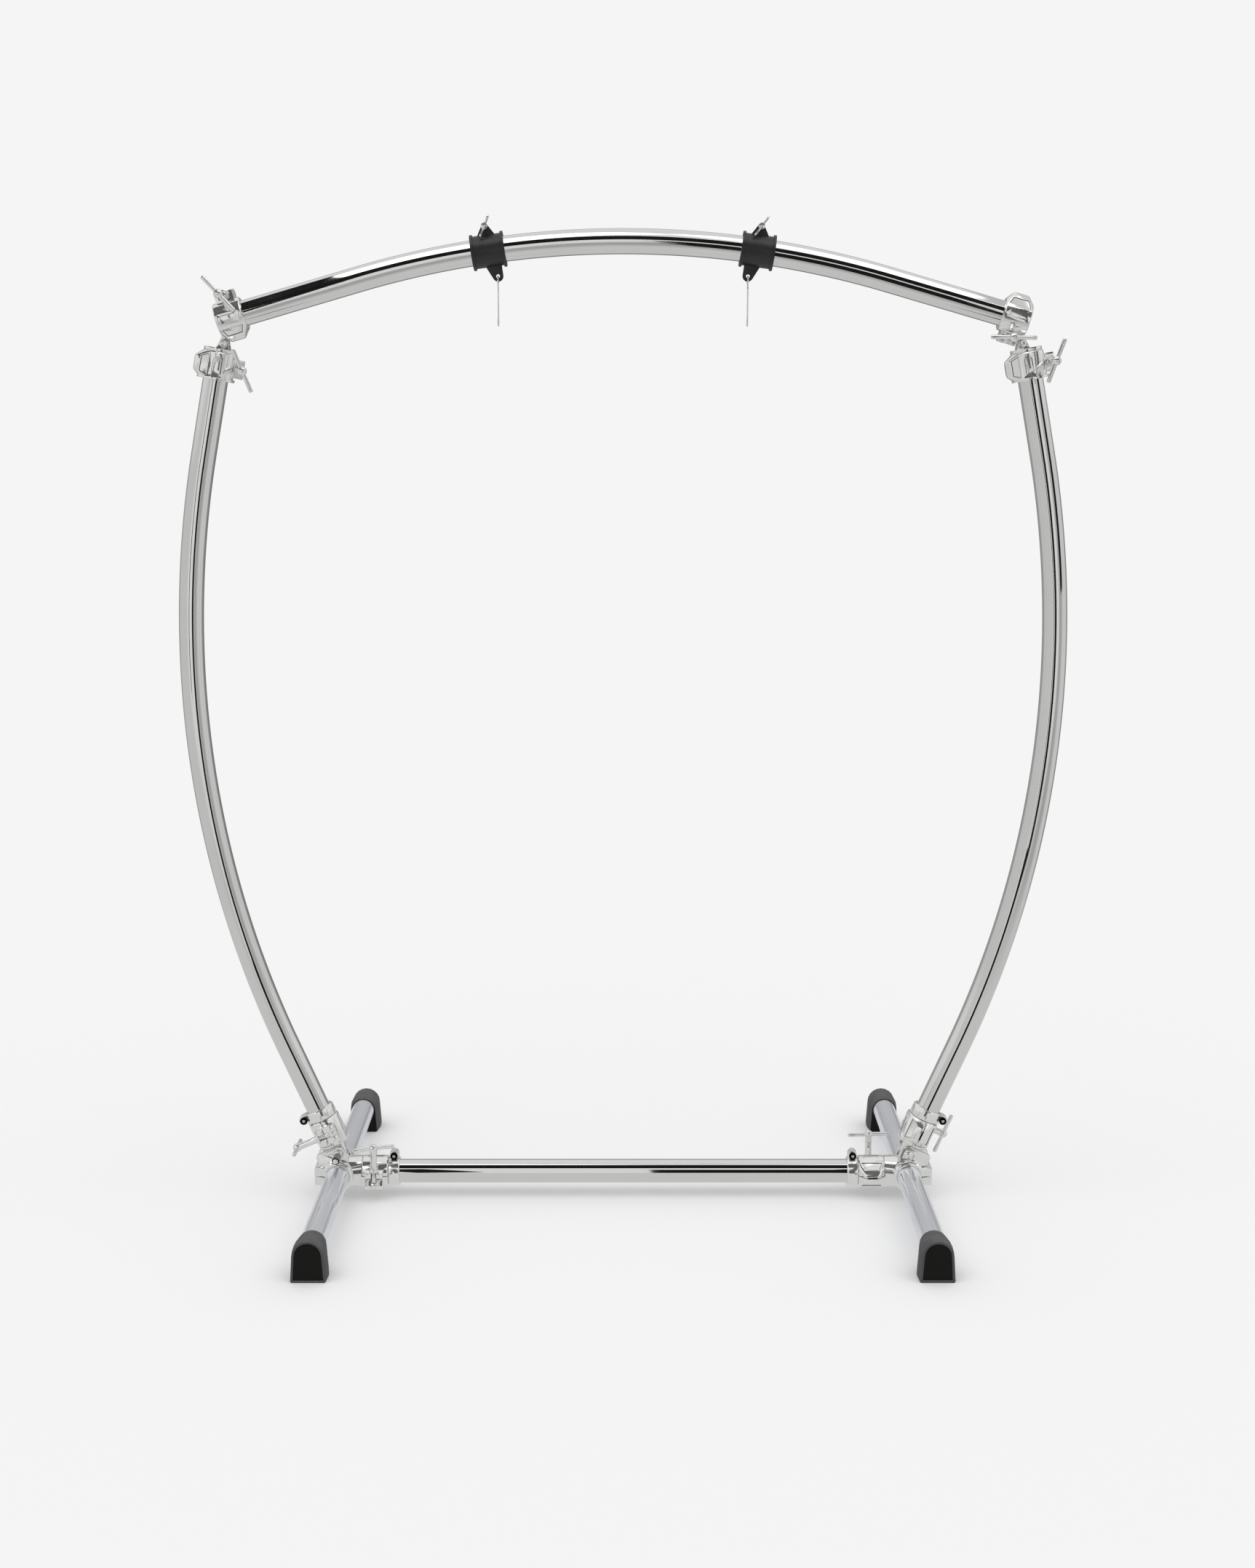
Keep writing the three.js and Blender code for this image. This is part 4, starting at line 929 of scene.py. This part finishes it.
@dataclass
class TubeClamp(Assembly):
    """One hinged clamp: fixed jaw, gate, swing bolt and T-nut."""

    label: str = ""
    jaw_node: str = ""
    turn: float = 0.0
    panel_depth: float = 0.8
    panel_border: float = 2.0
    panel_rim: float = 0.8
    drum_half: float = 12.0
    drum_spread: float = 14.0
    drum_corner: float = 2.0
    drum_turn: float = 82.0
    lobe_round: float = 2.4
    cross_half: float = 34.0
    hub_height: float = 50.0

    def drum_panel(self, piece: bpy.types.Object, place: Matrix, middle: float) -> None:
        """Sink a panel into the drum, about an angle from the hinge, with painted shade on its
        walls.
        """
        cutter = curved_slab(CLAMP_R, self.panel_depth, self.drum_half, middle,
                             self.drum_spread, self.drum_corner)

        def is_wall(polygon: bpy.types.MeshPolygon) -> bool:
            """Tell whether a face of the cutter crosses the drum."""
            spoke = Vector((0, polygon.center.y, polygon.center.z)).normalized()
            return abs(polygon.normal.dot(spoke)) < STEEP

        # Painted shade: the cutter's walls carry the black material onto the panel's walls
        self.two_tone(cutter, Shade.CASTING, Shade.RECESS, is_wall)
        lay(cutter, place)
        carve(piece, cutter)

    def lobe_panels(self, piece: bpy.types.Object, place: Matrix) -> None:
        """Sink a panel with a rim of painted shade into each flat side of the lobe, and paint shade
        into its slot.

        Args:
            piece: Casting with its own mesh.
            place: Frame of the clamp.
        """
        back = place.inverted()
        lean = (CLAMP_R - LOBE_R) / LOBE_OFFSET
        wanted = Vector((0, lean, math.sqrt(1 - lean * lean)))

        def on_corner(edge: bpy.types.MeshEdge) -> bool:
            """Tell whether an edge runs round an end of the lobe."""
            ends = [back @ piece.data.vertices[index].co / MM for index in edge.vertices]
            return all(abs(abs(end.x) - LOBE_HALF) < ON_EDGE
                       and end.y > LOBE_OFFSET - FEATURE_REACH for end in ends)

        def on_flat(polygon: bpy.types.MeshPolygon) -> bool:
            """Tell whether a face is a flat side of the lobe."""
            normal = back.to_3x3() @ polygon.normal
            flat = (abs(normal.y - wanted.y) < SAME_DIRECTION
                    and abs(abs(normal.z) - wanted.z) < SAME_DIRECTION)
            middle = back @ polygon.center / MM
            large = polygon.area > LARGE_FACE_MM2 * MM * MM
            return flat and large and abs(middle.x) < FEATURE_REACH

        pick_edges(piece, on_corner)
        bpy.ops.mesh.bevel(offset=self.lobe_round * MM, segments=4, affect="EDGES",
                           clamp_overlap=True)
        done()
        # Painted shade: the slot between the hinge knuckles gets the black material
        for polygon in piece.data.polygons:
            middle = back @ polygon.center / MM
            in_slot = (abs(middle.z) < LOBE_SLOT + SLOT_SLACK
                       and abs(middle.x) < KNUCKLE_HALF + SLOT_SLACK)
            if in_slot and middle.y > LOBE_OFFSET + LOBE_R - FEATURE_REACH:
                polygon.material_index = 1
        pick_faces(piece, on_flat)
        # Painted shade: the thin rim between the border and the sunk floor keeps the black material
        bpy.ops.mesh.inset(thickness=self.panel_border * MM, depth=0.0)
        self.shade_selected(piece, 1)
        bpy.ops.mesh.inset(thickness=self.panel_rim * MM, depth=-self.panel_depth * MM)
        self.shade_selected(piece, 0)
        done()

    def shade_selected(self, piece: bpy.types.Object, slot: int) -> None:
        """Give the selected faces one material slot and stay in edit mode."""
        done()
        for polygon in piece.data.polygons:
            if polygon.select:
                polygon.material_index = slot
        bpy.ops.object.mode_set(mode="EDIT")

    def finish_casting(self, node: str, place: Matrix, turned_to: float) -> None:
        """Finish one half of the clamp as a cast piece with its panels.

        Args:
            node: Solid that the casting stands for.
            place: Frame of the clamp.
            turned_to: Angle of its drum panel from the hinge, in degrees.
        """
        piece = copied(node, f"{node}_casting")
        self.paints.dress(piece, Shade.CASTING, Shade.RECESS)
        self.drum_panel(piece, place, turned_to)
        self.lobe_panels(piece, place)
        round_edges(piece, 0.5)
        smooth(piece)
        self.show(piece, node, self.body_of(node), Shade.CASTING, Shade.CASTING, Shade.RECESS)

    def swing_bolt(self, place: Matrix) -> None:
        """Model the eye bolt: a ring for its pin and a threaded shank."""
        shank = turned("shank", [(3.4, 4.5), (3.9, 7.0), (3.9, 15.0),
                                 *thread(4.0, 15.0, BOLT_EYE_DROP + BOLT_TOP - 1.0, 1.25, 0.55),
                                 (3.2, BOLT_EYE_DROP + BOLT_TOP)], 24)
        eye = turned(f"{self.label}_eye_bolt", [(3.4, -3.6), (6.6, -4.0), (7.0, -3.5), (7.0, 3.5),
                                                (6.6, 4.0), (3.4, 3.6)], 32, True)
        lay(eye, Axis.X.matrix())
        carve(eye, shank, "UNION")
        lay(eye, place @ moved(y=-EAR_OFFSET, z=-BOLT_EYE_DROP))
        smooth(eye, 50.0)
        node = f"{self.label}_swing_bolt"
        self.show(eye, node, self.body_of(node), Shade.HARDWARE)

    def t_nut(self, place: Matrix) -> None:
        """Model the T-nut: collar, barrel, round hub and waisted cross bar."""
        foot, hub = 10.6, self.hub_height
        bell = [(7.0 * math.cos(angle), hub + 7.0 * math.sin(angle))
                for angle in (math.radians(step) for step in range(-36, 86, 12))]
        nut = turned(f"{self.label}_handle_nut", [
            (4.35, 38.5), (4.35, foot + 0.5), (4.9, foot), (7.2, foot), (7.6, foot + 0.4),
            (7.6, foot + 2.6), (7.2, foot + 3.0), (6.0, foot + 3.2), (5.5, foot + 4.4),
            (5.3, foot + 12.0), (5.4, hub - 10.0), (5.6, hub - 5.5), *bell], 32)
        carve(nut, cross_bar(self.cross_half, hub), "UNION")
        spun = place @ moved(y=-EAR_OFFSET) @ Matrix.Rotation(math.radians(self.turn), 4, "Z")
        lay(nut, spun)
        smooth(nut, 45.0)
        node = f"{self.label}_t_nut"
        self.show(nut, node, self.body_of(node), Shade.HARDWARE)

    def build(self) -> None:
        """Model and finish the whole clamp."""
        place = clamp_place(self.label)
        self.finish_casting(self.jaw_node, place, -self.drum_turn)
        self.finish_casting(f"{self.label}_gate", place, self.drum_turn)
        self.swing_bolt(place)
        self.t_nut(place)


def cross_bar(half: float, height: float) -> bpy.types.Object:
    """Model a cross bar along X with drilled, rounded tips.

    Args:
        half: Half of its length.
        height: Height of its axis above the origin.

    Returns:
        The bar, to be welded to its hub.
    """
    tip = [(0.7, half - 1.4), (0.8, half), (2.2, half), (3.0, half - 0.7), (3.3, half - 2.0),
           (3.2, half - 12.0), (3.0, 8.0)]
    profile = [*tip, *[(radius, -along) for radius, along in reversed(tip)]]
    made = turned("cross bar", profile, 24)
    return lay(made, moved(z=height) @ Axis.X.matrix())


@dataclass
class SwivelBolt(Assembly):
    """Bolt of one corner swivel: dished round head in front, hex nut behind."""

    side: str = "left"
    head_r: float = 6.0
    head_height: float = 4.0
    shank_r: float = 3.0

    def build(self) -> None:
        """Model the bolt along Z, from the fork's back to its front."""
        spin = joint(f"swivel_bolt_{self.side}_spin")
        place = local_frame(spin["pos_m"], (1, 0, 0), spin["axis"])
        face, back = FORK_FRONT + 0.3, FORK_BACK - 0.3
        top = face + self.head_height
        bolt = turned(f"swivel_bolt_{self.side}_bolt", [
            (2.4, back - 4.8), *thread(self.shank_r, back - 4.6, back + 0.4, 1.0, 0.4),
            (self.shank_r, back + 0.6), (self.shank_r, face), (self.head_r, face),
            (self.head_r, top - 1.0), (self.head_r - 0.6, top - 0.2), (self.head_r - 1.4, top),
            (2.9, top), (2.7, top - 2.2), (0.6, top - 2.4)], 32)
        nut = turned("nut", [(self.head_r - 0.8, back), (self.head_r, back - 0.6),
                             (self.head_r, back - 3.4), (self.head_r - 0.8, back - 4.0)], 6)
        carve(bolt, nut, "UNION")
        lay(bolt, place)
        smooth(bolt, 40.0)
        node = f"swivel_bolt_{self.side}"
        self.show(bolt, node, self.body_of(node), Shade.HARDWARE)


@dataclass
class TiltBolt(Assembly):
    """Bolt through one tilt joint: domed head, hex nut and bare thread."""

    side: str = "left"
    face: float = 15.6
    nut_height: float = 6.5
    bare: float = 26.0
    thread_r: float = 6.0
    root_r: float = 4.2
    coils: int = 6

    def coil(self, start: float, end: float) -> list[tuple[float, float]]:
        """Rings of the coarse bare thread, with flat crests and roots.

        Args:
            start: Height of its first root.
            end: Height where it meets the nut.

        Returns:
            Profile points from start to end.
        """
        step = (end - start) / self.coils
        root, crest = self.root_r, self.thread_r
        shares = ((root, 0.0), (root, 0.4), (crest, 0.5), (crest, 0.92))
        return [(radius, start + (index + share) * step)
                for index in range(self.coils) for radius, share in shares]

    def build(self) -> None:
        """Model the bolt along Y with its head behind on the left side."""
        seat, face = -self.face - self.nut_height, self.face
        end = seat - self.bare
        dome = [(8.0, face), (8.0, face + 1.0), (7.4, face + 2.9), (6.0, face + 4.6),
                (3.8, face + 5.6), (2.6, face + 5.9), (2.4, face + 4.2)]
        bolt = turned(f"tilt_joint_bolt_{self.side}", [
            (3.2, end), *self.coil(end + 0.6, seat - 0.2), (3.95, seat), (3.95, face), *dome], 32)
        nut = turned("nut", [(6.6, -face), (7.5, -face - 0.7), (7.5, seat + 0.7), (6.6, seat)], 6)

        def in_coil(polygon: bpy.types.MeshPolygon) -> bool:
            """Tell whether a face lies between the crests of the bare thread."""
            bare = end + 0.5 < polygon.center.z / MM < seat
            return bare and reach(polygon) < self.thread_r - 0.3

        # Painted shade: the roots between the crests of the bare thread get the black material
        self.two_tone(bolt, Shade.HARDWARE, Shade.RECESS, in_coil)
        self.paints.dress(nut, Shade.HARDWARE, Shade.RECESS)
        carve(bolt, nut, "UNION")
        left = self.side == "left"
        flip = Matrix.Identity(4) if left else Matrix.Rotation(math.pi, 4, "Z")
        lay(bolt, moved(-LEG_X if left else LEG_X, 0, PIVOT_HEIGHT) @ flip @ Axis.Y.matrix())
        smooth(bolt, 45.0)
        node = f"tilt_bolt_{self.side}"
        self.show(bolt, node, "base", Shade.HARDWARE, Shade.HARDWARE, Shade.RECESS)


@dataclass
class LockRing(Assembly):
    """Cast lock ring with its dished screw."""

    label: str = ""
    half: float = 8.3
    stem_r: float = 2.4

    def build(self) -> None:
        """Finish the ring and model the screw in its ear."""
        self.finish_copy(self.label, "ring", Shade.CASTING, 0.6)
        node = f"{self.label}_screw"
        low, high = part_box(node)
        middle = (low + high) / 2
        front, stem = -self.half, self.stem_r
        screw = turned(f"{node}_head", [
            (1.8, self.half), (stem, self.half - 0.6),
            *thread(stem, self.half - 0.7, front + 0.6, 0.8, 0.3), (stem, front), (5.4, front),
            (5.8, front - 0.3), (5.8, front - 3.6), (5.4, front - 4.0), (5.0, front - 4.0),
            (3.4, front - 1.6), (2.6, front - 1.4), (2.6, front - 3.6), (2.2, front - 4.0)], 32)
        # Painted shade: the screw head's faces outside the stem, its dish among them, get the black
        # material
        self.two_tone(screw, Shade.SCREW, Shade.RECESS,
                      lambda polygon: stem < reach(polygon) and polygon.center.z / MM < front)
        lay(screw, Matrix.Translation((middle.x, 0, middle.z)) @ Axis.Y.matrix())
        smooth(screw, 35.0)
        self.show(screw, node, self.body_of(node), Shade.SCREW, Shade.SCREW, Shade.RECESS)


@dataclass
class RubberFoot(Assembly):
    """Arched rubber foot with a framed end face in painted shade."""

    side: str = "left"
    end: str = "front"
    border: float = 2.6
    rim: float = 0.6
    sunk: float = 0.7

    def build(self) -> None:
        """Finish the foot, frame its end face and paint shade on its end faces."""
        node = f"foot_{self.side}_{self.end}"
        piece = copied(node, f"{node}_rubber")
        self.paints.dress(piece, Shade.RUBBER, Shade.RUBBER_END)
        round_edges(piece, 1.2, 3)
        outward = -1 if self.end == "front" else 1
        facing = [face for face in piece.data.polygons if face.normal.y * outward > FACING]
        largest = max(facing, key=lambda face: face.area).index
        pick_faces(piece, lambda face: face.index == largest)
        bpy.ops.mesh.inset(thickness=self.border * MM, depth=0.0)
        bpy.ops.mesh.inset(thickness=self.rim * MM, depth=-self.sunk * MM)
        done()
        # Painted shade: the sunk end face and the faces that point back along the leg get the
        # darker end material
        for polygon in piece.data.polygons:
            if polygon.select or polygon.normal.y * outward < -FACING:
                polygon.material_index = 1
        smooth(piece, 35.0)
        self.show(piece, node, "base", Shade.RUBBER, Shade.RUBBER, Shade.RUBBER_END)


@dataclass
class Hanger(Assembly):
    """Collar, wing screw and wire hook of one side."""

    side: str = "left"
    wire_r: float = 1.1

    def hook(self) -> None:
        """Bend the wire hook along its path."""
        node = f"gong_hook_{self.side}"
        swing = joint(f"{node}_swing")
        flip = 1 if self.side == "left" else -1
        path = hook_path()
        start_fresh()
        bpy.ops.curve.primitive_bezier_curve_add(location=(0, 0, 0))
        wire = bpy.context.object
        wire.name = f"{node}_wire"
        data = wire.data
        data.splines.clear()
        spline = data.splines.new("POLY")
        spline.points.add(len(path) - 1)
        origin = Vector(swing["pos_m"])
        for point, (y, z) in zip(spline.points, path):
            point.co = (*(origin + Vector((0, flip * y * MM, z * MM))), 1)
        data.dimensions = "3D"
        data.bevel_depth = self.wire_r * MM
        data.bevel_resolution = 4
        data.use_fill_caps = True
        activate(wire)
        bpy.ops.object.convert(target="MESH")
        wire = bpy.context.object
        face_outward(wire)
        smooth(wire, 60.0)
        self.show(wire, node, node, Shade.HARDWARE)

    def build(self) -> None:
        """Finish the nylon collar and the wing screw, and model the hook."""
        self.finish_copy(f"hanger_collar_{self.side}", "moulding", Shade.NYLON, 0.9, 3)
        self.finish_copy(f"wing_screw_{self.side}", "wings", Shade.HARDWARE, 0.35, degrees=45.0)
        self.hook()


def hook_path() -> list[tuple[float, float]]:
    """Path of the hook's wire in its plane, as a smooth run of points.

    Returns:
        Points (y, z) in millimetres from the lug's hole.
    """
    spread, neck, drop, mouth, bowl = 6.0, 15.0, 66.0, 9.5, 7.0
    shares = [(0.95, 0.667), (1.0, 0.333), (0.66, 0.107)]
    knots = [(y * spread, -z * neck) for y, z in shares]
    knots.append((0.0, -0.4))
    knots += [(-y * spread, -z * neck) for y, z in reversed(shares)]
    knots += [(0.0, -neck), (0.0, -(neck + drop) / 2), (0.0, -drop)]
    for share in (0.25, 0.5, 0.75):
        angle = math.pi * share
        knots.append((mouth / 2 * (math.cos(angle) - 1), -drop - bowl * math.sin(angle)))
    knots += [(-mouth, -drop), (-mouth, bowl / 2 - drop)]
    return centripetal([Vector(knot) for knot in knots], 8)


def between(first: Vector, second: Vector, share: float) -> Vector:
    """Point between two others, or past them, by a share of the way."""
    return first * (1 - share) + second * share


def centripetal(knots: Sequence[Vector], steps: int) -> list[tuple[float, float]]:
    """Centripetal spline through knots.

    Args:
        knots: Points in the plane.
        steps: Points between two knots.

    Returns:
        Points of the spline.
    """
    first = knots[0] * 2 - knots[1]
    last = knots[-1] * 2 - knots[-2]
    row = [first, *knots, last]
    points: list[tuple[float, float]] = []
    for index in range(1, len(row) - 2):
        p0, p1, p2, p3 = row[index - 1:index + 3]
        t1 = (p1 - p0).length ** 0.5
        t2 = t1 + (p2 - p1).length ** 0.5
        t3 = t2 + (p3 - p2).length ** 0.5
        for step in range(steps):
            t = t1 + (t2 - t1) * step / steps
            a1 = between(p0, p1, t / t1)
            a2 = between(p1, p2, (t - t1) / (t2 - t1))
            a3 = between(p2, p3, (t - t2) / (t3 - t2))
            b1 = between(a1, a2, t / t2)
            b2 = between(a2, a3, (t - t1) / (t3 - t1))
            c = between(b1, b2, (t - t1) / (t2 - t1))
            points.append((c.x, c.y))
    points.append((knots[-1].x, knots[-1].y))
    return points


def upright_point(side: str, length: float) -> tuple[Vector, Vector]:
    """Point on the middle line of an upright.

    Args:
        side: Side of the upright.
        length: Length along the tube from its lower end, in millimetres.

    Returns:
        The point in metres and the direction of the tube there.
    """
    sign = -1 if side == "left" else 1
    heading = math.pi / 2 - sign * UPRIGHT_LEAN_LOW
    turn = sign * max(0.0, length - UPRIGHT_LEAD) / UPRIGHT_BEND_R
    first, along = direction(heading), direction(heading + turn)
    start = Vector((sign * LEG_X, 0, PIVOT_HEIGHT)) + first * UPRIGHT_INSET
    spoke, last = (Vector((-way.z, 0, way.x)) * sign for way in (first, along))
    bend = (spoke - last) * UPRIGHT_BEND_R
    return (start + first * min(length, UPRIGHT_LEAD) + bend) * MM, along


def upright_line(side: str, start: float, end: float,
                 steps: int = 12) -> list[tuple[Vector, Vector]]:
    """Points and directions along an upright, between two lengths in millimetres."""
    return [upright_point(side, start + (end - start) * step / steps) for step in range(steps + 1)]


# Studio


# Dark cards that only reflections see: name, brightness, corners in metres
CARDS = (
    ("Card over the front", 0.01,
     ((-1.0, -0.42, 1.9), (-1.0, -2.0, 1.9), (2.4, -0.45, 1.93), (2.4, -1.9, 1.93))),
    ("Card over the left", 0.01,
     ((-2.2, 0.15, 2.0), (-2.2, -1.4, 2.0), (-0.66, 0.1, 2.0), (-0.66, -1.35, 2.0))),
    ("Card over the right", 0.55,
     ((0.85, -0.5, 2.1), (2.6, -0.5, 2.1), (0.85, 0.9, 2.1), (2.6, 0.9, 2.1))),
    ("Card by the camera", 0.01,
     ((0.08, -3.0, 0.0), (1.0, -3.0, 0.0), (0.08, -3.0, 1.75), (1.0, -3.0, 1.75))),
    ("Card beside the right", 0.01,
     ((1.08, -0.45, 0.95), (1.6, -0.45, 0.95), (1.08, -0.45, 2.0), (1.6, -0.45, 2.0))),
    ("Tall card", 0.01, ((-3.05, -10, -0.5), (-2.15, -10, -0.5), (-3.05, -10, 6), (-2.15, -10, 6))),
)


@dataclass
class Studio:
    """Plain pale floor, soft light and the camera of the photograph's view."""

    background: float = 0.913
    fill: float = 0.91
    floor_size: float = 6.0
    floor_fade: tuple[float, float] = (0.9, 2.6)
    floor_tint: float = 0.93
    floor_mirrored: float = 0.62
    camera_at: tuple[float, float, float] = (0.0068, -3.1487, 1.2444)
    camera_pitch: float = 10.168
    lens: float = 46.753
    strip_spread: float = 0.15
    strip_away: float = 0.5

    def camera(self) -> None:
        """Place the camera."""
        data = bpy.data.cameras.new("Camera")
        data.lens = self.lens
        data.sensor_width = 36.0
        data.clip_end = 100.0
        eye = placed("Camera", data)
        eye.location = self.camera_at
        eye.rotation_euler = (math.radians(90 - self.camera_pitch), 0, 0)
        bpy.context.scene.camera = eye

    def room(self, board: NodeBoard) -> bpy.types.NodeSocket:
        """Brightness that metal sees: pale above, grey below, darker behind.

        Args:
            board: Node tree of the world.

        Returns:
            Socket of the brightness.
        """
        place = board.node("ShaderNodeTexCoord")
        split = board.node("ShaderNodeSeparateXYZ")
        board.link((place.outputs["Generated"], split.inputs["Vector"]))
        x, y, z = (split.outputs[label] for label in "XYZ")
        step, maths = board.smooth_step, board.maths
        front = maths("MULTIPLY", step(y, -0.8, -0.93), step(z, -0.3, -0.1))
        bright = maths("MAXIMUM", step(z, 0.02, 0.2), front)
        sides = maths("ADD", maths("MULTIPLY", step(x, -0.1, -0.35), 0.24),
                      maths("MULTIPLY", step(x, 0.75, 0.95), 0.3))
        low = maths("ADD", 0.5, sides)
        room = maths("MAXIMUM", low, maths("ADD", maths("MULTIPLY", bright, 0.45), 0.5))
        behind = maths("MULTIPLY", step(y, 0.3, 0.8), step(z, 0.65, 0.4))
        return maths("MULTIPLY", room, maths("SUBTRACT", 1.0, maths("MULTIPLY", behind, 0.45)))

    def world(self) -> None:
        """Pale world that the camera, metal and matt faces each see in their own way."""
        world = bpy.data.worlds.new("Studio")
        bpy.context.scene.world = world
        world.use_nodes = True
        board = NodeBoard(world.node_tree, clear=True)
        path = board.node("ShaderNodeLightPath").outputs
        shown = preset(board.node("ShaderNodeBackground"), {"Color": (self.background,) * 3 + (1,)})
        mirrored = board.node("ShaderNodeBackground")
        fill = preset(board.node("ShaderNodeBackground"), {"Strength": self.fill})
        metal_mix, camera_mix = (board.node("ShaderNodeMixShader") for _ in range(2))
        out = board.node("ShaderNodeOutputWorld")
        board.link((self.room(board), mirrored.inputs["Strength"]),
                   (path["Is Glossy Ray"], metal_mix.inputs["Fac"]),
                   (fill.outputs[0], metal_mix.inputs[1]),
                   (mirrored.outputs[0], metal_mix.inputs[2]),
                   (path["Is Camera Ray"], camera_mix.inputs["Fac"]),
                   (metal_mix.outputs[0], camera_mix.inputs[1]),
                   (shown.outputs[0], camera_mix.inputs[2]),
                   (camera_mix.outputs[0], out.inputs["Surface"]))

    def floor(self) -> None:
        """Lay a pale floor that fades into the background."""
        start_fresh()
        bpy.ops.mesh.primitive_circle_add(vertices=96, radius=self.floor_size, fill_type="NGON")
        floor = bpy.context.object
        floor.name = "Floor"
        material = bpy.data.materials.new("Pale floor")
        material.use_nodes = True
        board = NodeBoard(material.node_tree, clear=True)
        place = board.node("ShaderNodeTexCoord")
        reached = board.node("ShaderNodeVectorMath", operation="LENGTH")
        matt = preset(board.node("ShaderNodeBsdfDiffuse"), {"Color": (self.floor_tint,) * 3 + (1,)})
        clear = board.node("ShaderNodeBsdfTransparent")
        grey = preset(board.node("ShaderNodeEmission"),
                      {"Color": (self.floor_mirrored,) * 3 + (1,)})
        path = board.node("ShaderNodeLightPath")
        faded, seen = (board.node("ShaderNodeMixShader") for _ in range(2))
        out = board.node("ShaderNodeOutputMaterial")
        fade = board.smooth_step(reached.outputs["Value"], *self.floor_fade, 1.0, 0.0)
        board.link((place.outputs["Object"], reached.inputs[0]), (fade, faded.inputs["Fac"]),
                   (clear.outputs[0], faded.inputs[1]), (seen.outputs[0], faded.inputs[2]),
                   (path.outputs["Is Glossy Ray"], seen.inputs["Fac"]),
                   (matt.outputs[0], seen.inputs[1]), (grey.outputs[0], seen.inputs[2]),
                   (faded.outputs[0], out.inputs["Surface"]))
        floor.data.materials.append(material)
        floor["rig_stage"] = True

    def flag(self, name: str, corners: Iterable[tuple[float, float, float]],
             level: float = 0.01) -> None:
        """Hang a dark card that only reflections see.

        Args:
            name: Name of the card.
            corners: Its corners in metres, two for each rung of a strip.
            level: Brightness that it shows.
        """
        mesh = bpy.data.meshes.new(name)
        points = [Vector(corner) for corner in corners]
        rungs = range(0, len(points) - 2, 2)
        mesh.from_pydata(points, [], [(rung, rung + 1, rung + 3, rung + 2) for rung in rungs])
        card = placed(name, mesh)
        for sense in ("camera", "diffuse", "shadow", "transmission"):
            setattr(card, f"visible_{sense}", False)
        material = bpy.data.materials.new(name)
        material.use_nodes = True
        preset(material.node_tree.nodes["Principled BSDF"], {
            "Base Color": (0, 0, 0, 1), "Specular IOR Level": 0.0, "Roughness": 1.0,
            "Emission Color": (level, level, level, 1), "Emission Strength": 1.0})
        mesh.materials.append(material)
        card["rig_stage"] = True

    def strip(self, name: str, line: Iterable[tuple[Vector, Vector]], middle: float) -> None:
        """Hang a narrow card along a tube, seen in it as a line of even width.

        Args:
            name: Name of the card.
            line: Points on the tube's middle line, each with the tube's direction.
            middle: Turn of the seen line from the tube's middle, in radians.
        """
        eye = Vector(self.camera_at)
        rungs: list[tuple[float, float, float]] = []
        for place, along in line:
            sight = (place - eye).normalized()
            mirrored = along * sight.dot(along) * 2 - sight
            for half in (-self.strip_spread, self.strip_spread):
                turn = Matrix.Rotation(2 * middle + half, 4, along)
                rungs.append(tuple(place + turn @ mirrored * self.strip_away))
        self.flag(name, rungs)

    def flags(self) -> None:
        """Hang the cards that draw the dark lines on the tubes."""
        for name, level, corners_at in CARDS:
            self.flag(name, corners_at, level)
        self.strip("Strip by the left upright", upright_line("left", 40.0, 330.0), 0.0)
        self.strip("Strip by the right upright", upright_line("right", 40.0, 520.0), 0.04)

    def lamps(self) -> None:
        """Hang two wide soft lamps that light the whole floor evenly."""
        for name, towards, spread, power in (
            ("Soft lamp left", (0.7, 0.7, -1.6), 50.0, 0.55),
            ("Soft lamp right", (-0.8, 0.5, -1.4), 50.0, 0.4),
        ):
            data = bpy.data.lights.new(name, "SUN")
            data.angle = math.radians(spread)
            data.energy = power
            lamp = placed(name, data)
            lamp.rotation_euler = Vector(towards).to_track_quat("-Z", "Y").to_euler()

    def build(self) -> None:
        """Set up the whole studio."""
        self.camera()
        self.world()
        self.floor()
        self.flags()
        self.lamps()
        bpy.context.scene.view_settings.view_transform = "Standard"


# The stand


@dataclass
class GongStand:
    """All sub-assemblies of the stand, in the order they are built."""

    paints: Paintbox = field(default_factory=Paintbox)
    clamps: dict[str, tuple[str, float]] = field(default_factory=lambda: {
        "base_clamp_left": ("t_casting_left", 20.0),
        "base_clamp_right": ("t_casting_right", 5.0),
        "tilt_clamp_left": ("tilt_clamp_left", 90.0),
        "tilt_clamp_right": ("tilt_clamp_right", 0.0),
        "corner_lower_left": ("corner_lower_left", 33.0),
        "corner_lower_right": ("corner_lower_right", -31.0),
        "corner_upper_left": ("corner_upper_left", -63.0),
        "corner_upper_right": ("corner_upper_right", 15.0),
    })

    def parts(self) -> list[Assembly]:
        """List the sub-assemblies."""
        parts: list[Assembly] = [TubeFrame(self.paints)]
        for label, (jaw_node, turn) in self.clamps.items():
            parts.append(TubeClamp(self.paints, label, jaw_node, turn))
        for side in SIDES:
            parts.append(SwivelBolt(self.paints, side))
            parts.append(TiltBolt(self.paints, side))
            parts.append(LockRing(self.paints, f"base_lock_{side}"))
            parts.append(LockRing(self.paints, f"upright_lock_{side}"))
            parts.extend(RubberFoot(self.paints, side, end) for end in ("front", "rear"))
            parts.append(Hanger(self.paints, side))
        return parts

    def build(self) -> None:
        """Build every sub-assembly and report it."""
        for part in self.parts():
            part.build()


def corners(box: tuple[Vector, Vector]) -> list[list[float]]:
    """Turn a box into plain lists of numbers."""
    return [list(corner) for corner in box]


def main() -> None:
    """Build the stand and its studio."""
    logging.basicConfig(level=logging.INFO, format="%(name)s: %(message)s")
    GongStand().build()
    Studio().build()
    {"cad": corners(cad_box), "visual": corners(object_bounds())}


if __name__ == "__main__":
    main()
